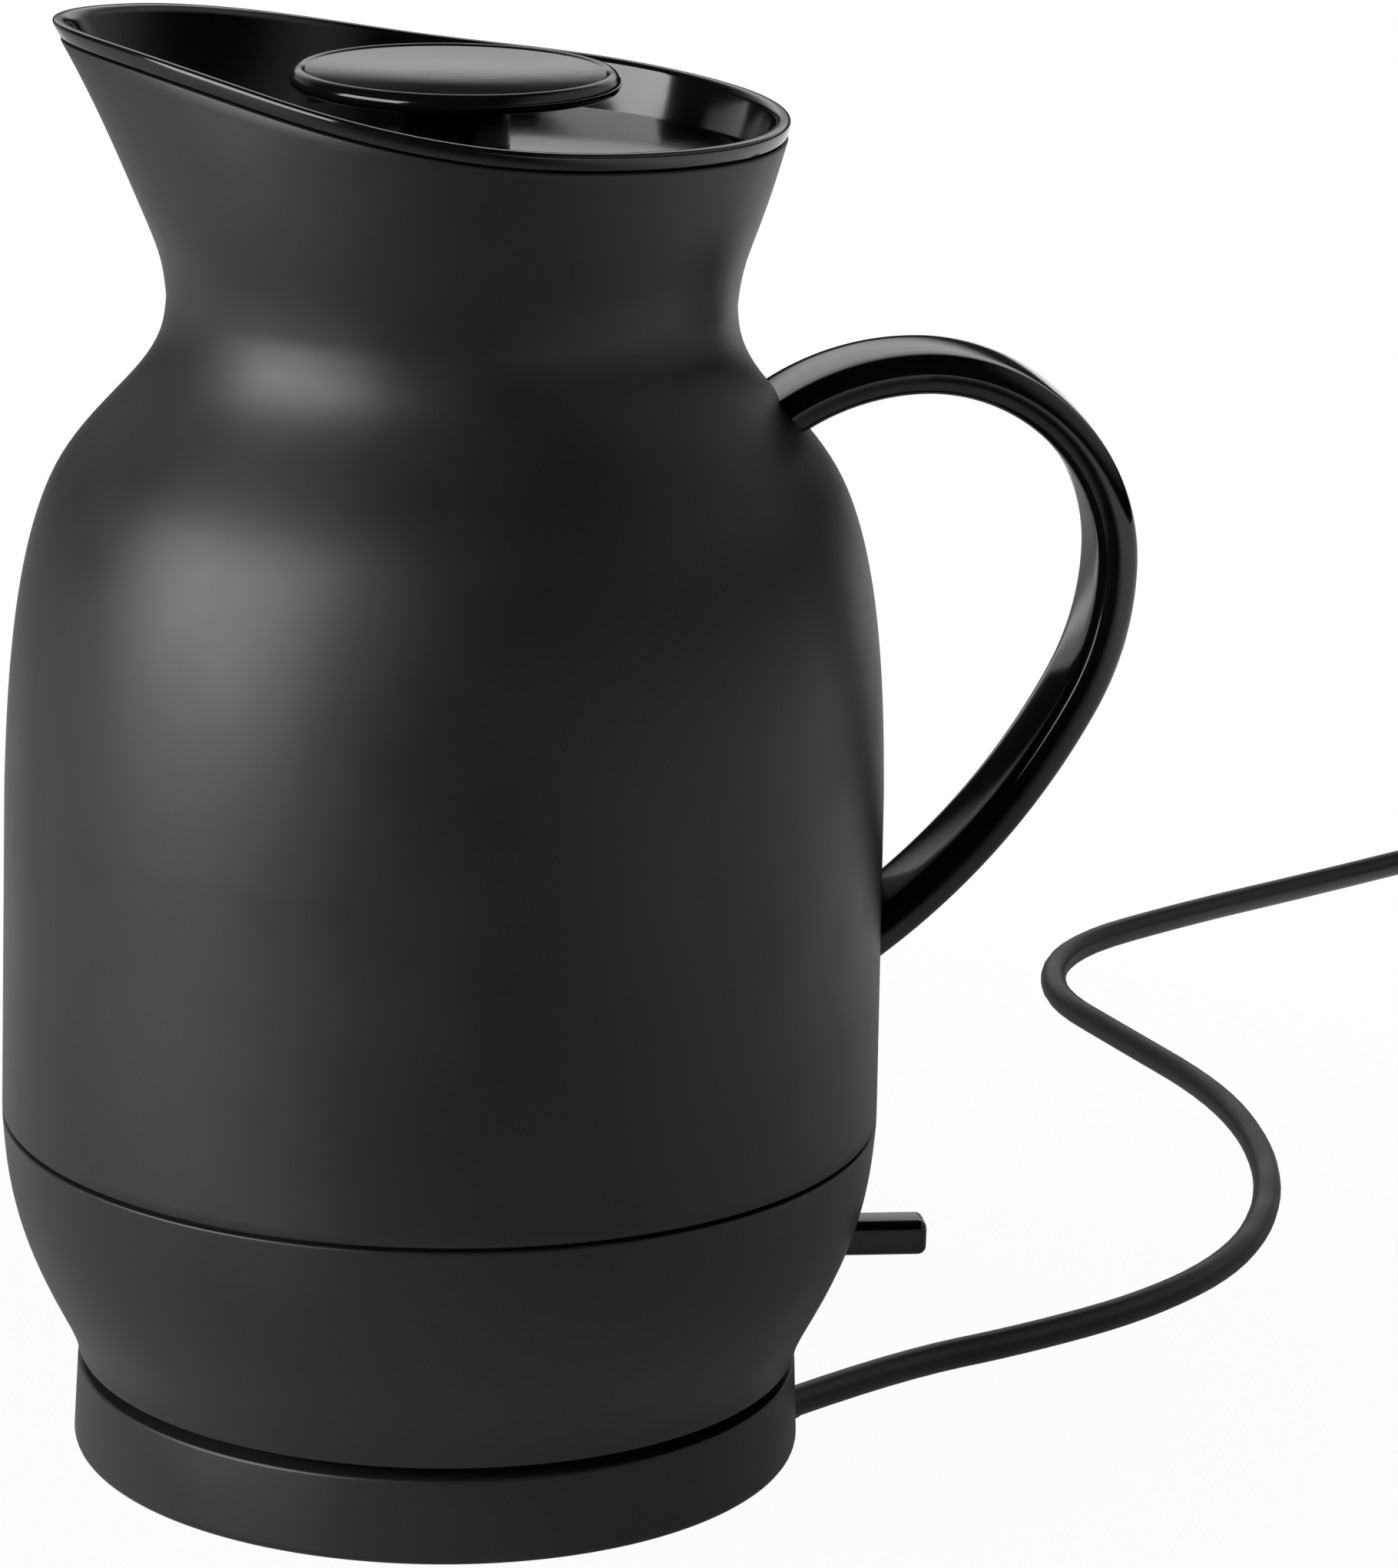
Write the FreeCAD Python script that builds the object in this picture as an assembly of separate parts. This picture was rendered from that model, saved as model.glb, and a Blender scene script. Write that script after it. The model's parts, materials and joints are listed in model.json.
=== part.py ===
"""Cordless electric jug kettle on a round power base, one solid per piece, in millimetres.

Origin: centre of the power base on the table, +Z up, handle towards +X, spout towards -X.
"""
import FreeCAD
import Part
import math
import os

V = FreeCAD.Vector
UP = V(0, 0, 1)

# Kettle outline
BELLY_RADIUS = 75.0
BELLY_TOP_RADIUS = 74.4
NECK_RADIUS = 47.4
FOOT_RADIUS = 62.1
FOOT_Z = 17.8
SEAM_Z = 60.5
SHOULDER_Z = 118.0
NECK_Z = 201.5
RIM_HEEL_Z = 233.0
RIM_TIP_Z = 247.8
FLARE_START = 4.0
NOSE_REACH = 7.2
NOSE_PINCH = 2.3
NOSE_HALF_DEG = 19.0
PINCH_DEG = 47.0
SHELL_WALL = 1.6
HOUSING_WALL = 2.4
SEAM_GAP = 0.7
CLEAR = 0.3
FIT = 0.15
OVER = 1.0

# Shares of the height and of the radius step between shoulder and neck
SHOULDER_SHAPE = ((0.0, 1.0), (0.14, 0.983), (0.29, 0.948), (0.43, 0.888), (0.575, 0.773), (0.65, 0.67),
                  (0.72, 0.518), (0.79, 0.325), (0.86, 0.143), (0.935, 0.028), (1.0, 0.0))
# Shares of the rise and of the radius step between foot and seam
HOUSING_SHAPE = ((0.0, 0.0), (0.06, 0.05), (0.12, 0.128), (0.24, 0.326), (0.52, 0.725), (0.8, 0.94), (1.0, 1.0))
# Widening of the flare above the neck, by the rise from it
FLARE_SHAPE = ((0.0, 0.0), (6.5, 1.0), (12.5, 2.9), (18.5, 4.9), (24.5, 6.65), (36.5, 9.75), (60.0, 15.5))
# Shares of the rim's fall from tip to heel, by distance along X
RIM_SHAPE = ((-76.0, 1.03), (-66.8, 1.0), (-46.5, 0.824), (-28.4, 0.574), (0.0, 0.236), (29.0, 0.09),
             (56.0, 0.0), (80.0, 0.0))

# Pour funnel and its lip
LIP_HEIGHT = 2.8
LIP_INSET = 0.3
LIP_GAP = 0.35
FUNNEL_WALL = 1.2
FUNNEL_BOTTOM_Z = NECK_Z - 7.5
FUNNEL_SEAL_HEIGHT = 4.0
FUNNEL_SEAL_STEP = 2.0
LIP_ROOM = 12.0

# Lid
LID_EDGE_Z = RIM_HEEL_Z - 6.6
LID_PLATE = 2.9
LID_RADIUS = 48.4
LID_DOME = 1.2
LID_COVER_RADIUS = 40.0
LID_COVER_DEPTH = 5.0
LID_COVER_WALL = 2.0
LID_EDGE_DRAFT = 0.6
LID_SCREW_GRIP = 1.2
GASKET_HEIGHT = 3.2
POUR_NOTCH_X = 37.0
POUR_NOTCH_HALF = 22.0
STEM_RADIUS = 9.2
KNOB_RADIUS = 27.4
KNOB_BOTTOM_Z = LID_EDGE_Z + 10.4
KNOB_HEIGHT = 3.0
KNOB_EDGE = 1.2
KNOB_DISH = 1.2
KNOB_UNDERCUT = 1.0
SCREW_RADIUS = 2.0
SCREW_HEAD_RADIUS = 3.8
SCREW_HEAD_HEIGHT = 2.2
SCREW_END_ROOM = 2.0
BOSS_WALL = 2.0
BOSS_HEIGHT = 10.0
WASHER_EDGE = 1.0

# Handle: three tangent arcs, a root arc before them
HANDLE_X = BELLY_RADIUS + 4.5
HANDLE_Z = NECK_Z - 44.7
HANDLE_CREST_R = 33.2
HANDLE_ROOT_R = 42.0
HANDLE_ROOT_TURN = 46.0
HANDLE_GRIP_R = 52.0
HANDLE_GRIP_TURN = 27.0
HANDLE_TAIL_R = 125.0
HANDLE_TAIL_TURN = 27.0
HANDLE_WIDTH_ROOT = 23.0
HANDLE_WIDTH_CREST = 20.0
HANDLE_WIDTH_TAIL = 20.5
HANDLE_THICK = 7.3
HANDLE_GAP = 0.1
HANDLE_SCREW_HEAD = 6.5
HANDLE_SCREW_REACH = 9.0
HANDLE_SCREW_TOP_TURN = 7.0
HANDLE_SCREW_TAIL_TURN = 4.5

# Switch lever
LEVER_Z = 35.2
LEVER_TIP_X = BELLY_RADIUS + 10.1
LEVER_PIVOT_X = FOOT_RADIUS - 10.1
LEVER_INNER_X = LEVER_PIVOT_X - 6.5
LEVER_BACK_GAP = 1.2
LEVER_SLOT_BACK = 4.0
LEVER_WIDTH = 7.0
LEVER_THICK = 6.2
LEVER_EDGE = 1.5
LEVER_TRAVEL_DEG = 8.0
PIVOT_PIN_RADIUS = 1.5
PIVOT_CLEAR = 0.06
CHEEK_THICK = 3.0
CHEEK_WIDTH = 8.0
BRACKET_FLOOR = 3.0

# Power base
BASE_RADIUS = 62.5
BASE_TOP_Z = 15.7
BASE_EDGE_Z = 0.8
BASE_WALL = 2.5
BASE_DRAFT = 0.35
BASE_TOP_ROUND = 0.6
BASE_EDGE_ROUND = 1.6
COVER_THICK = 3.0
HUB_RADIUS = 16.0
FOOT_PAD_RADIUS = 6.0
FOOT_PAD_RING = 48.0
FOOT_PAD_COUNT = 4
FOOT_PAD_TOP_Z = 2.0
FOOT_PAD_SHIFT = 30.0
COVER_BOTTOM_Z = 1.2
BASE_SCREW_RING = 54.0
BASE_SCREW_BEARINGS = (60, 180, 300)
BASE_SCREW_SINK = 0.2
SOCKET_RADIUS = 18.0
SOCKET_TOP_Z = 25.0
SOCKET_FLANGE = 24.0
SOCKET_FLANGE_THICK = 3.0
SOCKET_ROUND = 1.5
SOCKET_FLOOR_Z = 14.0
PIN_RADIUS = 3.2
PIN_HOLE_RADIUS = 4.2
PIN_ROUND = 1.2
PIN_TIP_Z = SOCKET_FLOOR_Z + 1.5
RING_TIP_Z = SOCKET_FLOOR_Z + 2.0
CONTACT_THICK = 0.8
CONTACT_START = 6.0
CONTACT_END = 26.0
CONTACT_HALF = 2.0
CONTACT_BEARINGS = (-90, -150, 150)
WIRE_RADIUS = 1.1
WIRE_SPACING = 4.2
CLAMP_LENGTH = 5.0
CLAMP_WIDTH = 16.0
CLAMP_HEIGHT = 6.6
CLAMP_SCREW_OFFSET = 5.4
CLAMP_SCREW_RADIUS = 1.2
CLAMP_HEAD_HEIGHT = 1.2
RING_RADIUS = 12.1
RING_WALL = 1.4
RING_SLOT = 3.0
REST_RING_RADIUS = 57.0
REST_RING_WALL = 5.0
REST_RING_HEIGHT = 1.4
BOTTOM_THICK = 2.2
CONNECTOR_WALL = 1.6
CONNECTOR_LEDGE = 3.0
CONNECTOR_THICK = 3.0
CONNECTOR_LIFT = 1.0
CONTACT_SEAT = 1.8
COLLAR_WALL = 1.8
BOTTOM_SCREW_RING = 50.0
BOTTOM_SCREW_BEARINGS = (45, 180, 315)

# Heater and controls
PLATE_Z = 67.2
PLATE_THICK = 1.4
SPIGOT_HEIGHT = 5.5
SPIGOT_WALL = 1.7
SPIGOT_ROOT = 2.5
SEAL_WIDTH = 2.4
SEAL_GRIP = 2.0
SEAL_LIP = 1.0
PLATE_CLAMP_REACH = 5.0
PLATE_CLAMP_EDGE = 0.5
ELEMENT_RING = 42.0
ELEMENT_TUBE = 3.4
ELEMENT_GAP_DEG = 60.0
TAIL_RADIUS = 2.4
TAIL_LEAN = 6.0
TAIL_GATHER = 0.9
TAIL_RISE = 0.8
CONTROL_LENGTH = 76.0
CONTROL_WIDTH = 42.0
CONTROL_HEIGHT = 13.0
CONTROL_ROUND = 3.0
CONTROL_POST_RADIUS = 2.5
CONTROL_POST_INSET = 4.5
CONTROL_TOWER_LENGTH = 8.0
CONTROL_TOWER_HALF = 8.0
CONTROL_TOWER_HEIGHT = 4.0
STEAM_TUBE_X = 46.0
STEAM_TUBE_Y = 16.0
STEAM_TUBE_RADIUS = 4.0
STEAM_TUBE_WALL = 1.0
STEAM_TUBE_TOP_Z = NECK_Z - 21.5

# Cord, coil and plug
CORD_RADIUS = 2.7
EXIT_HEADING_DEG = 40.5
EXIT_Y = 1.0
EXIT_Z = 3.6
RELIEF_LENGTH = 26.0
RELIEF_OUTSIDE = 0.2
RELIEF_INNER_RADIUS = 3.3
RELIEF_OUTER_RADIUS = 2.9
COIL_CENTRE = V(298.0, 321.0, 0)
COIL_ENTRY_DEG = 120.0
COIL_RADIUS = 30.0
COIL_SPREAD = 8.0
COIL_LAYER = 6.0
COIL_TURNS_PER_LAYER = 0.875
COIL_CLIMB = 0.5
COIL_TAIL = 23.0
TIE_THICK = 0.8
TIE_WIDTH = 6.5
TIE_CLEAR = 0.5
PLUG_LENGTH = 40.0
PLUG_WIDTH = 34.0
PLUG_NECK_HALF = 5.0
PLUG_NECK_LENGTH = 8.0
PLUG_COLLAR_HALF = 7.0
PLUG_SHOULDER = 16.0
PLUG_ROUND = 3.0
PLUG_PIN_RADIUS = 2.4
PLUG_PIN_LENGTH = 19.0
PLUG_PIN_SPACING = 19.0


def smooth_table(table, value):
    """Read a table of (place, size) pairs with a monotone cubic between its rows."""
    places = [row[0] for row in table]
    sizes = [row[1] for row in table]
    count = len(table)
    rates = [(sizes[i + 1] - sizes[i]) / (places[i + 1] - places[i]) for i in range(count - 1)]
    slopes = [0.0]
    for i in range(1, count - 1):
        same_way = rates[i - 1] * rates[i] > 0
        slopes.append(2 * rates[i - 1] * rates[i] / (rates[i - 1] + rates[i]) if same_way else 0.0)
    slopes.append(rates[-1])
    value = min(max(value, places[0]), places[-1])
    i = max(k for k in range(count - 1) if places[k] <= value)
    step = places[i + 1] - places[i]
    t = (value - places[i]) / step
    near = (1 + 2 * t) * (1 - t) ** 2 * sizes[i] + t * (1 - t) ** 2 * step * slopes[i]
    far = t * t * (3 - 2 * t) * sizes[i + 1] + t * t * (t - 1) * step * slopes[i + 1]
    return near + far


def outer_radius(z):
    """Radius of the kettle's round outline at a height, without the spout's nose."""
    if z <= SHOULDER_Z:
        share = (z - SEAM_Z) / (SHOULDER_Z - SEAM_Z)
        return BELLY_RADIUS + (BELLY_TOP_RADIUS - BELLY_RADIUS) * max(share, 0.0)
    if z <= NECK_Z:
        share = (z - SHOULDER_Z) / (NECK_Z - SHOULDER_Z)
        return NECK_RADIUS + (BELLY_TOP_RADIUS - NECK_RADIUS) * smooth_table(SHOULDER_SHAPE, share)
    return NECK_RADIUS + smooth_table(FLARE_SHAPE, z - NECK_Z)


def nose(angle, z):
    """How far the spout stands out of the round outline, by the angle from the tip and the height."""
    lift = max(z - NECK_Z - FLARE_START, 0.0) / (RIM_TIP_Z - NECK_Z - FLARE_START)
    degrees = abs(math.degrees(angle))
    reach = NOSE_REACH * math.exp(-(degrees / NOSE_HALF_DEG) ** 2)
    pinch = NOSE_PINCH * math.exp(-((degrees - PINCH_DEG) / NOSE_HALF_DEG) ** 2)
    return (reach - pinch) * lift ** 2


def jug_section(z, inset):
    """Closed outline of the kettle at one height, moved in by an inset."""
    points = []
    count = 48
    for i in range(count):
        angle = 2 * math.pi * i / count
        from_tip = math.atan2(math.sin(angle - math.pi), math.cos(angle - math.pi))
        radius = outer_radius(z) + nose(from_tip, z) - inset
        points.append(V(radius * math.cos(angle), radius * math.sin(angle), z))
    curve = Part.BSplineCurve()
    curve.interpolate(Points=points, PeriodicFlag=True)
    return Part.Wire([curve.toShape()])


def jug_solid(bottom, top, inset, step=8.0):
    """Solid of the kettle's outline between two heights, moved in by an inset."""
    count = max(int(round((top - bottom) / step)), 2)
    heights = [bottom + (top - bottom) * i / count for i in range(count + 1)]
    return Part.makeLoft([jug_section(z, inset) for z in heights], True, False)


def above_rim(drop):
    """Block that fills everything above the rim line lowered by a drop."""
    fall = RIM_TIP_Z - RIM_HEEL_Z
    points = [V(x, 0, RIM_HEEL_Z + fall * share - drop) for x, share in RIM_SHAPE]
    curve = Part.BSplineCurve()
    curve.interpolate(points)
    ceiling = TOP_ROOM + 2 * OVER
    corners = [points[-1], V(points[-1].x, 0, ceiling), V(points[0].x, 0, ceiling), points[0]]
    edges = [curve.toShape()]
    edges += [Part.makeLine(corners[i], corners[i + 1]) for i in range(3)]
    depth = 2 * BELLY_RADIUS
    face = Part.Face(Part.Wire(edges))
    face.translate(V(0, -depth, 0))
    return face.extrude(V(0, 2 * depth, 0))


def ring(inner, outer, bottom, top):
    """Plain ring, or a disc where the inner radius is zero."""
    solid = Part.makeCylinder(outer, top - bottom, V(0, 0, bottom))
    if inner <= 0:
        return solid
    return solid.cut(Part.makeCylinder(inner, top - bottom, V(0, 0, bottom)))


def block(x0, x1, y0, y1, z0, z1):
    """Box between two corners."""
    return Part.makeBox(x1 - x0, y1 - y0, z1 - z0, V(x0, y0, z0))


def polar(radius, degrees, z):
    """Point at a radius and a bearing."""
    return V(radius * math.cos(math.radians(degrees)), radius * math.sin(math.radians(degrees)), z)


def rod(start, end, radius):
    """Round bar between two points."""
    return Part.makeCylinder(radius, (end - start).Length, start, end - start)


def screw(head, tip):
    """Screw with a round head whose top is at one point and whose shank ends at the other."""
    along = (tip - head).normalize()
    return rod(head, head + along * SCREW_HEAD_HEIGHT, SCREW_HEAD_RADIUS).fuse(rod(head, tip, SCREW_RADIUS))


def edges_at(solid, z):
    """Edges of a solid whose middle lies at a height."""
    return [edge for edge in solid.Edges if abs(edge.CenterOfMass.z - z) < 0.01]


def save(name, shape):
    """Write one piece and report its volume."""
    shape.exportStep("parts/" + name + ".step")
    volume = round(shape.Volume / 1000.0, 3)
    print(name, "solids", len(shape.Solids), "volume", volume, "valid", shape.isValid())


def group(shapes):
    """Several separate solids as one piece."""
    return Part.makeCompound(shapes)


# Power base
COVER_TOP_Z = COVER_BOTTOM_Z + COVER_THICK
BASE_SCREW_Z = COVER_BOTTOM_Z + BASE_SCREW_SINK
DECK_BOTTOM_Z = BASE_TOP_Z - BASE_WALL
SOCKET_BOTTOM_Z = DECK_BOTTOM_Z - SOCKET_FLANGE_THICK
COVER_RADIUS = BASE_RADIUS - BASE_WALL - CLEAR
EXIT_HEADING = V(math.cos(math.radians(EXIT_HEADING_DEG)), math.sin(math.radians(EXIT_HEADING_DEG)), 0)
EXIT_WALL = V(math.sqrt(BASE_RADIUS ** 2 - EXIT_Y ** 2), EXIT_Y, EXIT_Z)
RELIEF_OUTER = EXIT_WALL + EXIT_HEADING * RELIEF_OUTSIDE
RELIEF_INNER = RELIEF_OUTER - EXIT_HEADING * RELIEF_LENGTH


def strain_relief(extra):
    """Tapered bush that holds the cord in the base wall, made larger by an extra for its hole."""
    return Part.makeCone(RELIEF_INNER_RADIUS + extra, RELIEF_OUTER_RADIUS + extra, RELIEF_LENGTH,
                         RELIEF_INNER, EXIT_HEADING)


def base_shell():
    """Round housing of the power base, open below."""
    outer = Part.makeCone(BASE_RADIUS + BASE_DRAFT, BASE_RADIUS - BASE_DRAFT, BASE_TOP_Z - BASE_EDGE_Z,
                          V(0, 0, BASE_EDGE_Z))
    outer = outer.makeFillet(BASE_TOP_ROUND, edges_at(outer, BASE_TOP_Z))
    outer = outer.makeFillet(BASE_EDGE_ROUND, edges_at(outer, BASE_EDGE_Z))
    shell = outer.cut(ring(0, BASE_RADIUS - BASE_WALL, 0, DECK_BOTTOM_Z))
    for bearing in BASE_SCREW_BEARINGS:
        boss = Part.makeCylinder(SCREW_RADIUS + BOSS_WALL, DECK_BOTTOM_Z - COVER_TOP_Z,
                                 polar(BASE_SCREW_RING, bearing, COVER_TOP_Z))
        shell = shell.fuse(boss)
        shell = shell.cut(Part.makeCylinder(SCREW_RADIUS, DECK_BOTTOM_Z - COVER_TOP_Z,
                                            polar(BASE_SCREW_RING, bearing, COVER_TOP_Z)))
    shell = shell.cut(ring(0, SOCKET_RADIUS + FIT, 0, BASE_TOP_Z + OVER))
    way_out = rod(RELIEF_OUTER, RELIEF_OUTER + EXIT_HEADING * (2 * BASE_WALL), CORD_RADIUS + CLEAR)
    return shell.cut(strain_relief(FIT)).cut(way_out)


def base_bottom_cover():
    """Disc that closes the base from below, with a central hub that stands on the table."""
    cover = ring(0, COVER_RADIUS, COVER_BOTTOM_Z, COVER_TOP_Z).fuse(ring(0, HUB_RADIUS, 0, COVER_TOP_Z))
    for bearing in BASE_SCREW_BEARINGS:
        centre = polar(BASE_SCREW_RING, bearing, 0)
        cover = cover.cut(Part.makeCylinder(SCREW_RADIUS + FIT, COVER_TOP_Z, centre))
        seat_z = BASE_SCREW_Z + SCREW_HEAD_HEIGHT
        cover = cover.cut(Part.makeCylinder(SCREW_HEAD_RADIUS + FIT, seat_z, centre))
    for pad in foot_pads(FIT):
        cover = cover.cut(pad)
    return cover.cut(strain_relief(FIT))


def foot_pads(extra):
    """Round rubber feet set into the bottom cover, made larger by an extra for their seats."""
    step = 360 / FOOT_PAD_COUNT
    return [Part.makeCylinder(FOOT_PAD_RADIUS + extra, FOOT_PAD_TOP_Z,
                              polar(FOOT_PAD_RING, step * (i + 0.5) - FOOT_PAD_SHIFT, 0))
            for i in range(FOOT_PAD_COUNT)]


def base_screws():
    """Screws from below through the cover into the bosses."""
    tip_z = DECK_BOTTOM_Z - SCREW_END_ROOM
    return [screw(polar(BASE_SCREW_RING, b, BASE_SCREW_Z), polar(BASE_SCREW_RING, b, tip_z))
            for b in BASE_SCREW_BEARINGS]


def base_socket():
    """Round connector tower with a hole for the centre pin and a slot for the contact ring."""
    tower = ring(0, SOCKET_RADIUS, SOCKET_BOTTOM_Z, SOCKET_TOP_Z)
    tower = tower.makeFillet(SOCKET_ROUND, edges_at(tower, SOCKET_TOP_Z))
    tower = tower.fuse(ring(0, SOCKET_FLANGE, SOCKET_BOTTOM_Z, DECK_BOTTOM_Z))
    tower = tower.cut(ring(0, PIN_HOLE_RADIUS, SOCKET_FLOOR_Z, SOCKET_TOP_Z + OVER))
    slot = ring(RING_RADIUS - RING_SLOT / 2, RING_RADIUS + RING_SLOT / 2, SOCKET_FLOOR_Z, SOCKET_TOP_Z + OVER)
    return tower.cut(slot)


def contact_strips():
    """Brass contact blades clipped under the socket."""
    strips = []
    for bearing in CONTACT_BEARINGS:
        strip = block(CONTACT_START, CONTACT_END, -CONTACT_HALF, CONTACT_HALF,
                      SOCKET_BOTTOM_Z - CONTACT_THICK, SOCKET_BOTTOM_Z)
        strip.rotate(V(0, 0, 0), UP, bearing)
        strips.append(strip)
    return strips


CLAMP_CENTRE = RELIEF_INNER - EXIT_HEADING * (CLAMP_LENGTH / 2 + FIT)


def across_exit(offset):
    """Sideways shift from the cord's exit line."""
    return V(-EXIT_HEADING.y, EXIT_HEADING.x, 0) * offset


def cord_clamp():
    """Bar screwed to the bottom cover that grips the cord's end inside the base."""
    bar = Part.makeBox(CLAMP_LENGTH, CLAMP_WIDTH, CLAMP_HEIGHT, V(-CLAMP_LENGTH / 2, -CLAMP_WIDTH / 2, 0))
    bar.rotate(V(0, 0, 0), UP, EXIT_HEADING_DEG)
    bar.translate(V(CLAMP_CENTRE.x, CLAMP_CENTRE.y, COVER_TOP_Z))
    for solid in clamp_screws():
        bar = bar.cut(solid)
    return bar


def clamp_screws():
    """Two small screws down through the clamp bar."""
    screws = []
    for side in (-1, 1):
        foot = V(CLAMP_CENTRE.x, CLAMP_CENTRE.y, COVER_TOP_Z) + across_exit(side * CLAMP_SCREW_OFFSET)
        top = foot + UP * CLAMP_HEIGHT
        head = Part.makeCylinder(SCREW_RADIUS, CLAMP_HEAD_HEIGHT, top)
        screws.append(head.fuse(Part.makeCylinder(CLAMP_SCREW_RADIUS, CLAMP_HEIGHT, foot)))
    return screws


def base_wires():
    """Three insulated wires from the cord clamp to the contact blades."""
    wires = []
    wire_z = SOCKET_BOTTOM_Z - CONTACT_THICK - WIRE_RADIUS
    for index, bearing in enumerate(CONTACT_BEARINGS):
        end = polar(CONTACT_END - CONTACT_HALF, bearing, wire_z)
        start = V(CLAMP_CENTRE.x, CLAMP_CENTRE.y, wire_z) - EXIT_HEADING * (CLAMP_LENGTH / 2 + WIRE_RADIUS)
        start += across_exit((index - 1) * WIRE_SPACING)
        wires.append(rod(start, end, WIRE_RADIUS))
    return wires


# Cord, coil and plug
CORD_FLOOR = CORD_RADIUS
COIL_Z = CORD_RADIUS + TIE_THICK + TIE_CLEAR
CORD_ROUTE = [RELIEF_OUTER, V(84.2, 19.5, 3.05), V(110, 32.5, CORD_FLOOR), V(136, 49, CORD_FLOOR),
              V(157, 72, CORD_FLOOR), V(170, 103, CORD_FLOOR), V(175, 137, CORD_FLOOR),
              V(172.5, 171, CORD_FLOOR), V(160, 207, CORD_FLOOR), V(149.5, 238, CORD_FLOOR),
              V(159, 270, CORD_FLOOR), V(190, 294, CORD_FLOOR), V(224, 316, CORD_FLOOR),
              V(254, 333, COIL_Z)]


def coil_point(turn):
    """Middle of the cord in the coil after a number of turns, in on the floor and out on top."""
    climb_end = COIL_TURNS_PER_LAYER + COIL_CLIMB
    outer = COIL_RADIUS + COIL_SPREAD / 2
    if turn <= COIL_TURNS_PER_LAYER:
        radius = outer - COIL_SPREAD * turn / COIL_TURNS_PER_LAYER
        level = 0.0
    elif turn <= climb_end:
        radius = outer - COIL_SPREAD
        share = (turn - COIL_TURNS_PER_LAYER) / COIL_CLIMB
        level = share * share * (3 - 2 * share)
    else:
        radius = outer - COIL_SPREAD + COIL_SPREAD * (turn - climb_end) / COIL_TURNS_PER_LAYER
        level = 1.0
    bearing = COIL_ENTRY_DEG - 360 * turn
    return COIL_CENTRE + polar(radius, bearing, COIL_Z + COIL_LAYER * level)


COIL_TURNS = 2 * COIL_TURNS_PER_LAYER + COIL_CLIMB


def coil_heading(turn):
    """Direction of the cord in the coil after a number of turns."""
    step = 0.002
    ahead = coil_point(min(turn + step, COIL_TURNS))
    return (ahead - coil_point(max(turn - step, 0.0))).normalize()


def rounded_path(points):
    """Wire of straight runs joined by arcs as large as the runs allow, with its radii."""
    edges = []
    radii = []
    at = points[0]
    for i in range(1, len(points) - 1):
        back = (points[i - 1] - points[i])
        ahead = (points[i + 1] - points[i])
        reach = 0.45 * min(back.Length, ahead.Length)
        half_turn = (math.pi - back.getAngle(ahead)) / 2
        radii.append(reach / math.tan(half_turn))
        start = points[i] + V(back).normalize() * reach
        end = points[i] + V(ahead).normalize() * reach
        middle_way = (V(back).normalize() + V(ahead).normalize()).normalize()
        to_centre = radii[-1] / math.cos(half_turn)
        middle = points[i] + middle_way * (to_centre - radii[-1])
        edges.append(Part.LineSegment(at, start).toShape())
        edges.append(Part.Arc(start, middle, end).toShape())
        at = end
    edges.append(Part.LineSegment(at, points[-1]).toShape())
    return Part.Wire(edges), radii


def arc_from(start, heading, end):
    """Arc that leaves a point along a heading and ends at another point."""
    chord = end - start
    ahead = chord.dot(heading)
    side = chord - heading * ahead
    side_way = V(side).normalize()
    radius = chord.Length ** 2 / (2 * side.Length)
    half = math.atan2(side.Length, ahead)
    centre = start + side_way * radius
    middle = centre - side_way * (radius * math.cos(half)) + heading * (radius * math.sin(half))
    return Part.Arc(start, middle, end).toShape()


def biarc(start, heading, end, end_heading):
    """Two tangent arcs between two points with given headings."""
    chord = end - start
    both = heading + end_heading
    bend = 2 * (1 - heading.dot(end_heading))
    along = chord.dot(both)
    reach = (math.sqrt(along ** 2 + bend * chord.dot(chord)) - along) / bend
    joint = (start + end + (heading - end_heading) * reach) * 0.5
    last = arc_from(end, end_heading * -1, joint)
    return [arc_from(start, heading, joint), Part.Edge(last)]


def tube(path, start, heading):
    """Cord swept along a path."""
    profile = Part.Wire([Part.makeCircle(CORD_RADIUS, start, heading)])
    return path.makePipeShell([profile], True, False)


def cord():
    """Free stretch of the cord from the base to the coil."""
    points = CORD_ROUTE + [coil_point(0) - coil_heading(0) * (2 * CORD_RADIUS)]
    path, radii = rounded_path(points)
    solid = tube(path, points[0], points[1] - points[0])
    section = math.pi * CORD_RADIUS ** 2
    ratio = solid.Volume / section / path.Length
    print("cord length", round(path.Length, 1), "volume ratio", round(ratio, 4))
    print("cord radii", [round(r) for r in radii])
    return solid, path.Length


def cord_coil():
    """Put-away length of the cord as one unbroken tube of turns."""
    quarters = int(round(COIL_TURNS * 4))
    start = coil_point(0)
    heading = coil_heading(0)
    edges = [Part.LineSegment(start - heading * (2 * CORD_RADIUS), start).toShape()]
    for i in range(quarters):
        turn = i / 4
        after = turn + 0.25
        edges += biarc(coil_point(turn), coil_heading(turn), coil_point(after), coil_heading(after))
    end = coil_point(COIL_TURNS)
    edges.append(Part.LineSegment(end, end + coil_heading(COIL_TURNS) * COIL_TAIL).toShape())
    path = Part.Wire(Part.sortEdges(edges)[0])
    solid = tube(path, start - heading * (2 * CORD_RADIUS), heading)
    gap = coil_gap()
    print("coil length", round(path.Length, 1), "least gap to itself", round(gap, 2))
    return solid, path.Length


def coil_gap():
    """Least clear space between turns of the coil, measured on points."""
    count = 240
    points = [coil_point(COIL_TURNS * i / count) for i in range(count + 1)]
    apart = int(count / COIL_TURNS / 4)
    return min((points[i] - points[k]).Length for i in range(count + 1)
               for k in range(i + apart, count + 1)) - 2 * CORD_RADIUS


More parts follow.
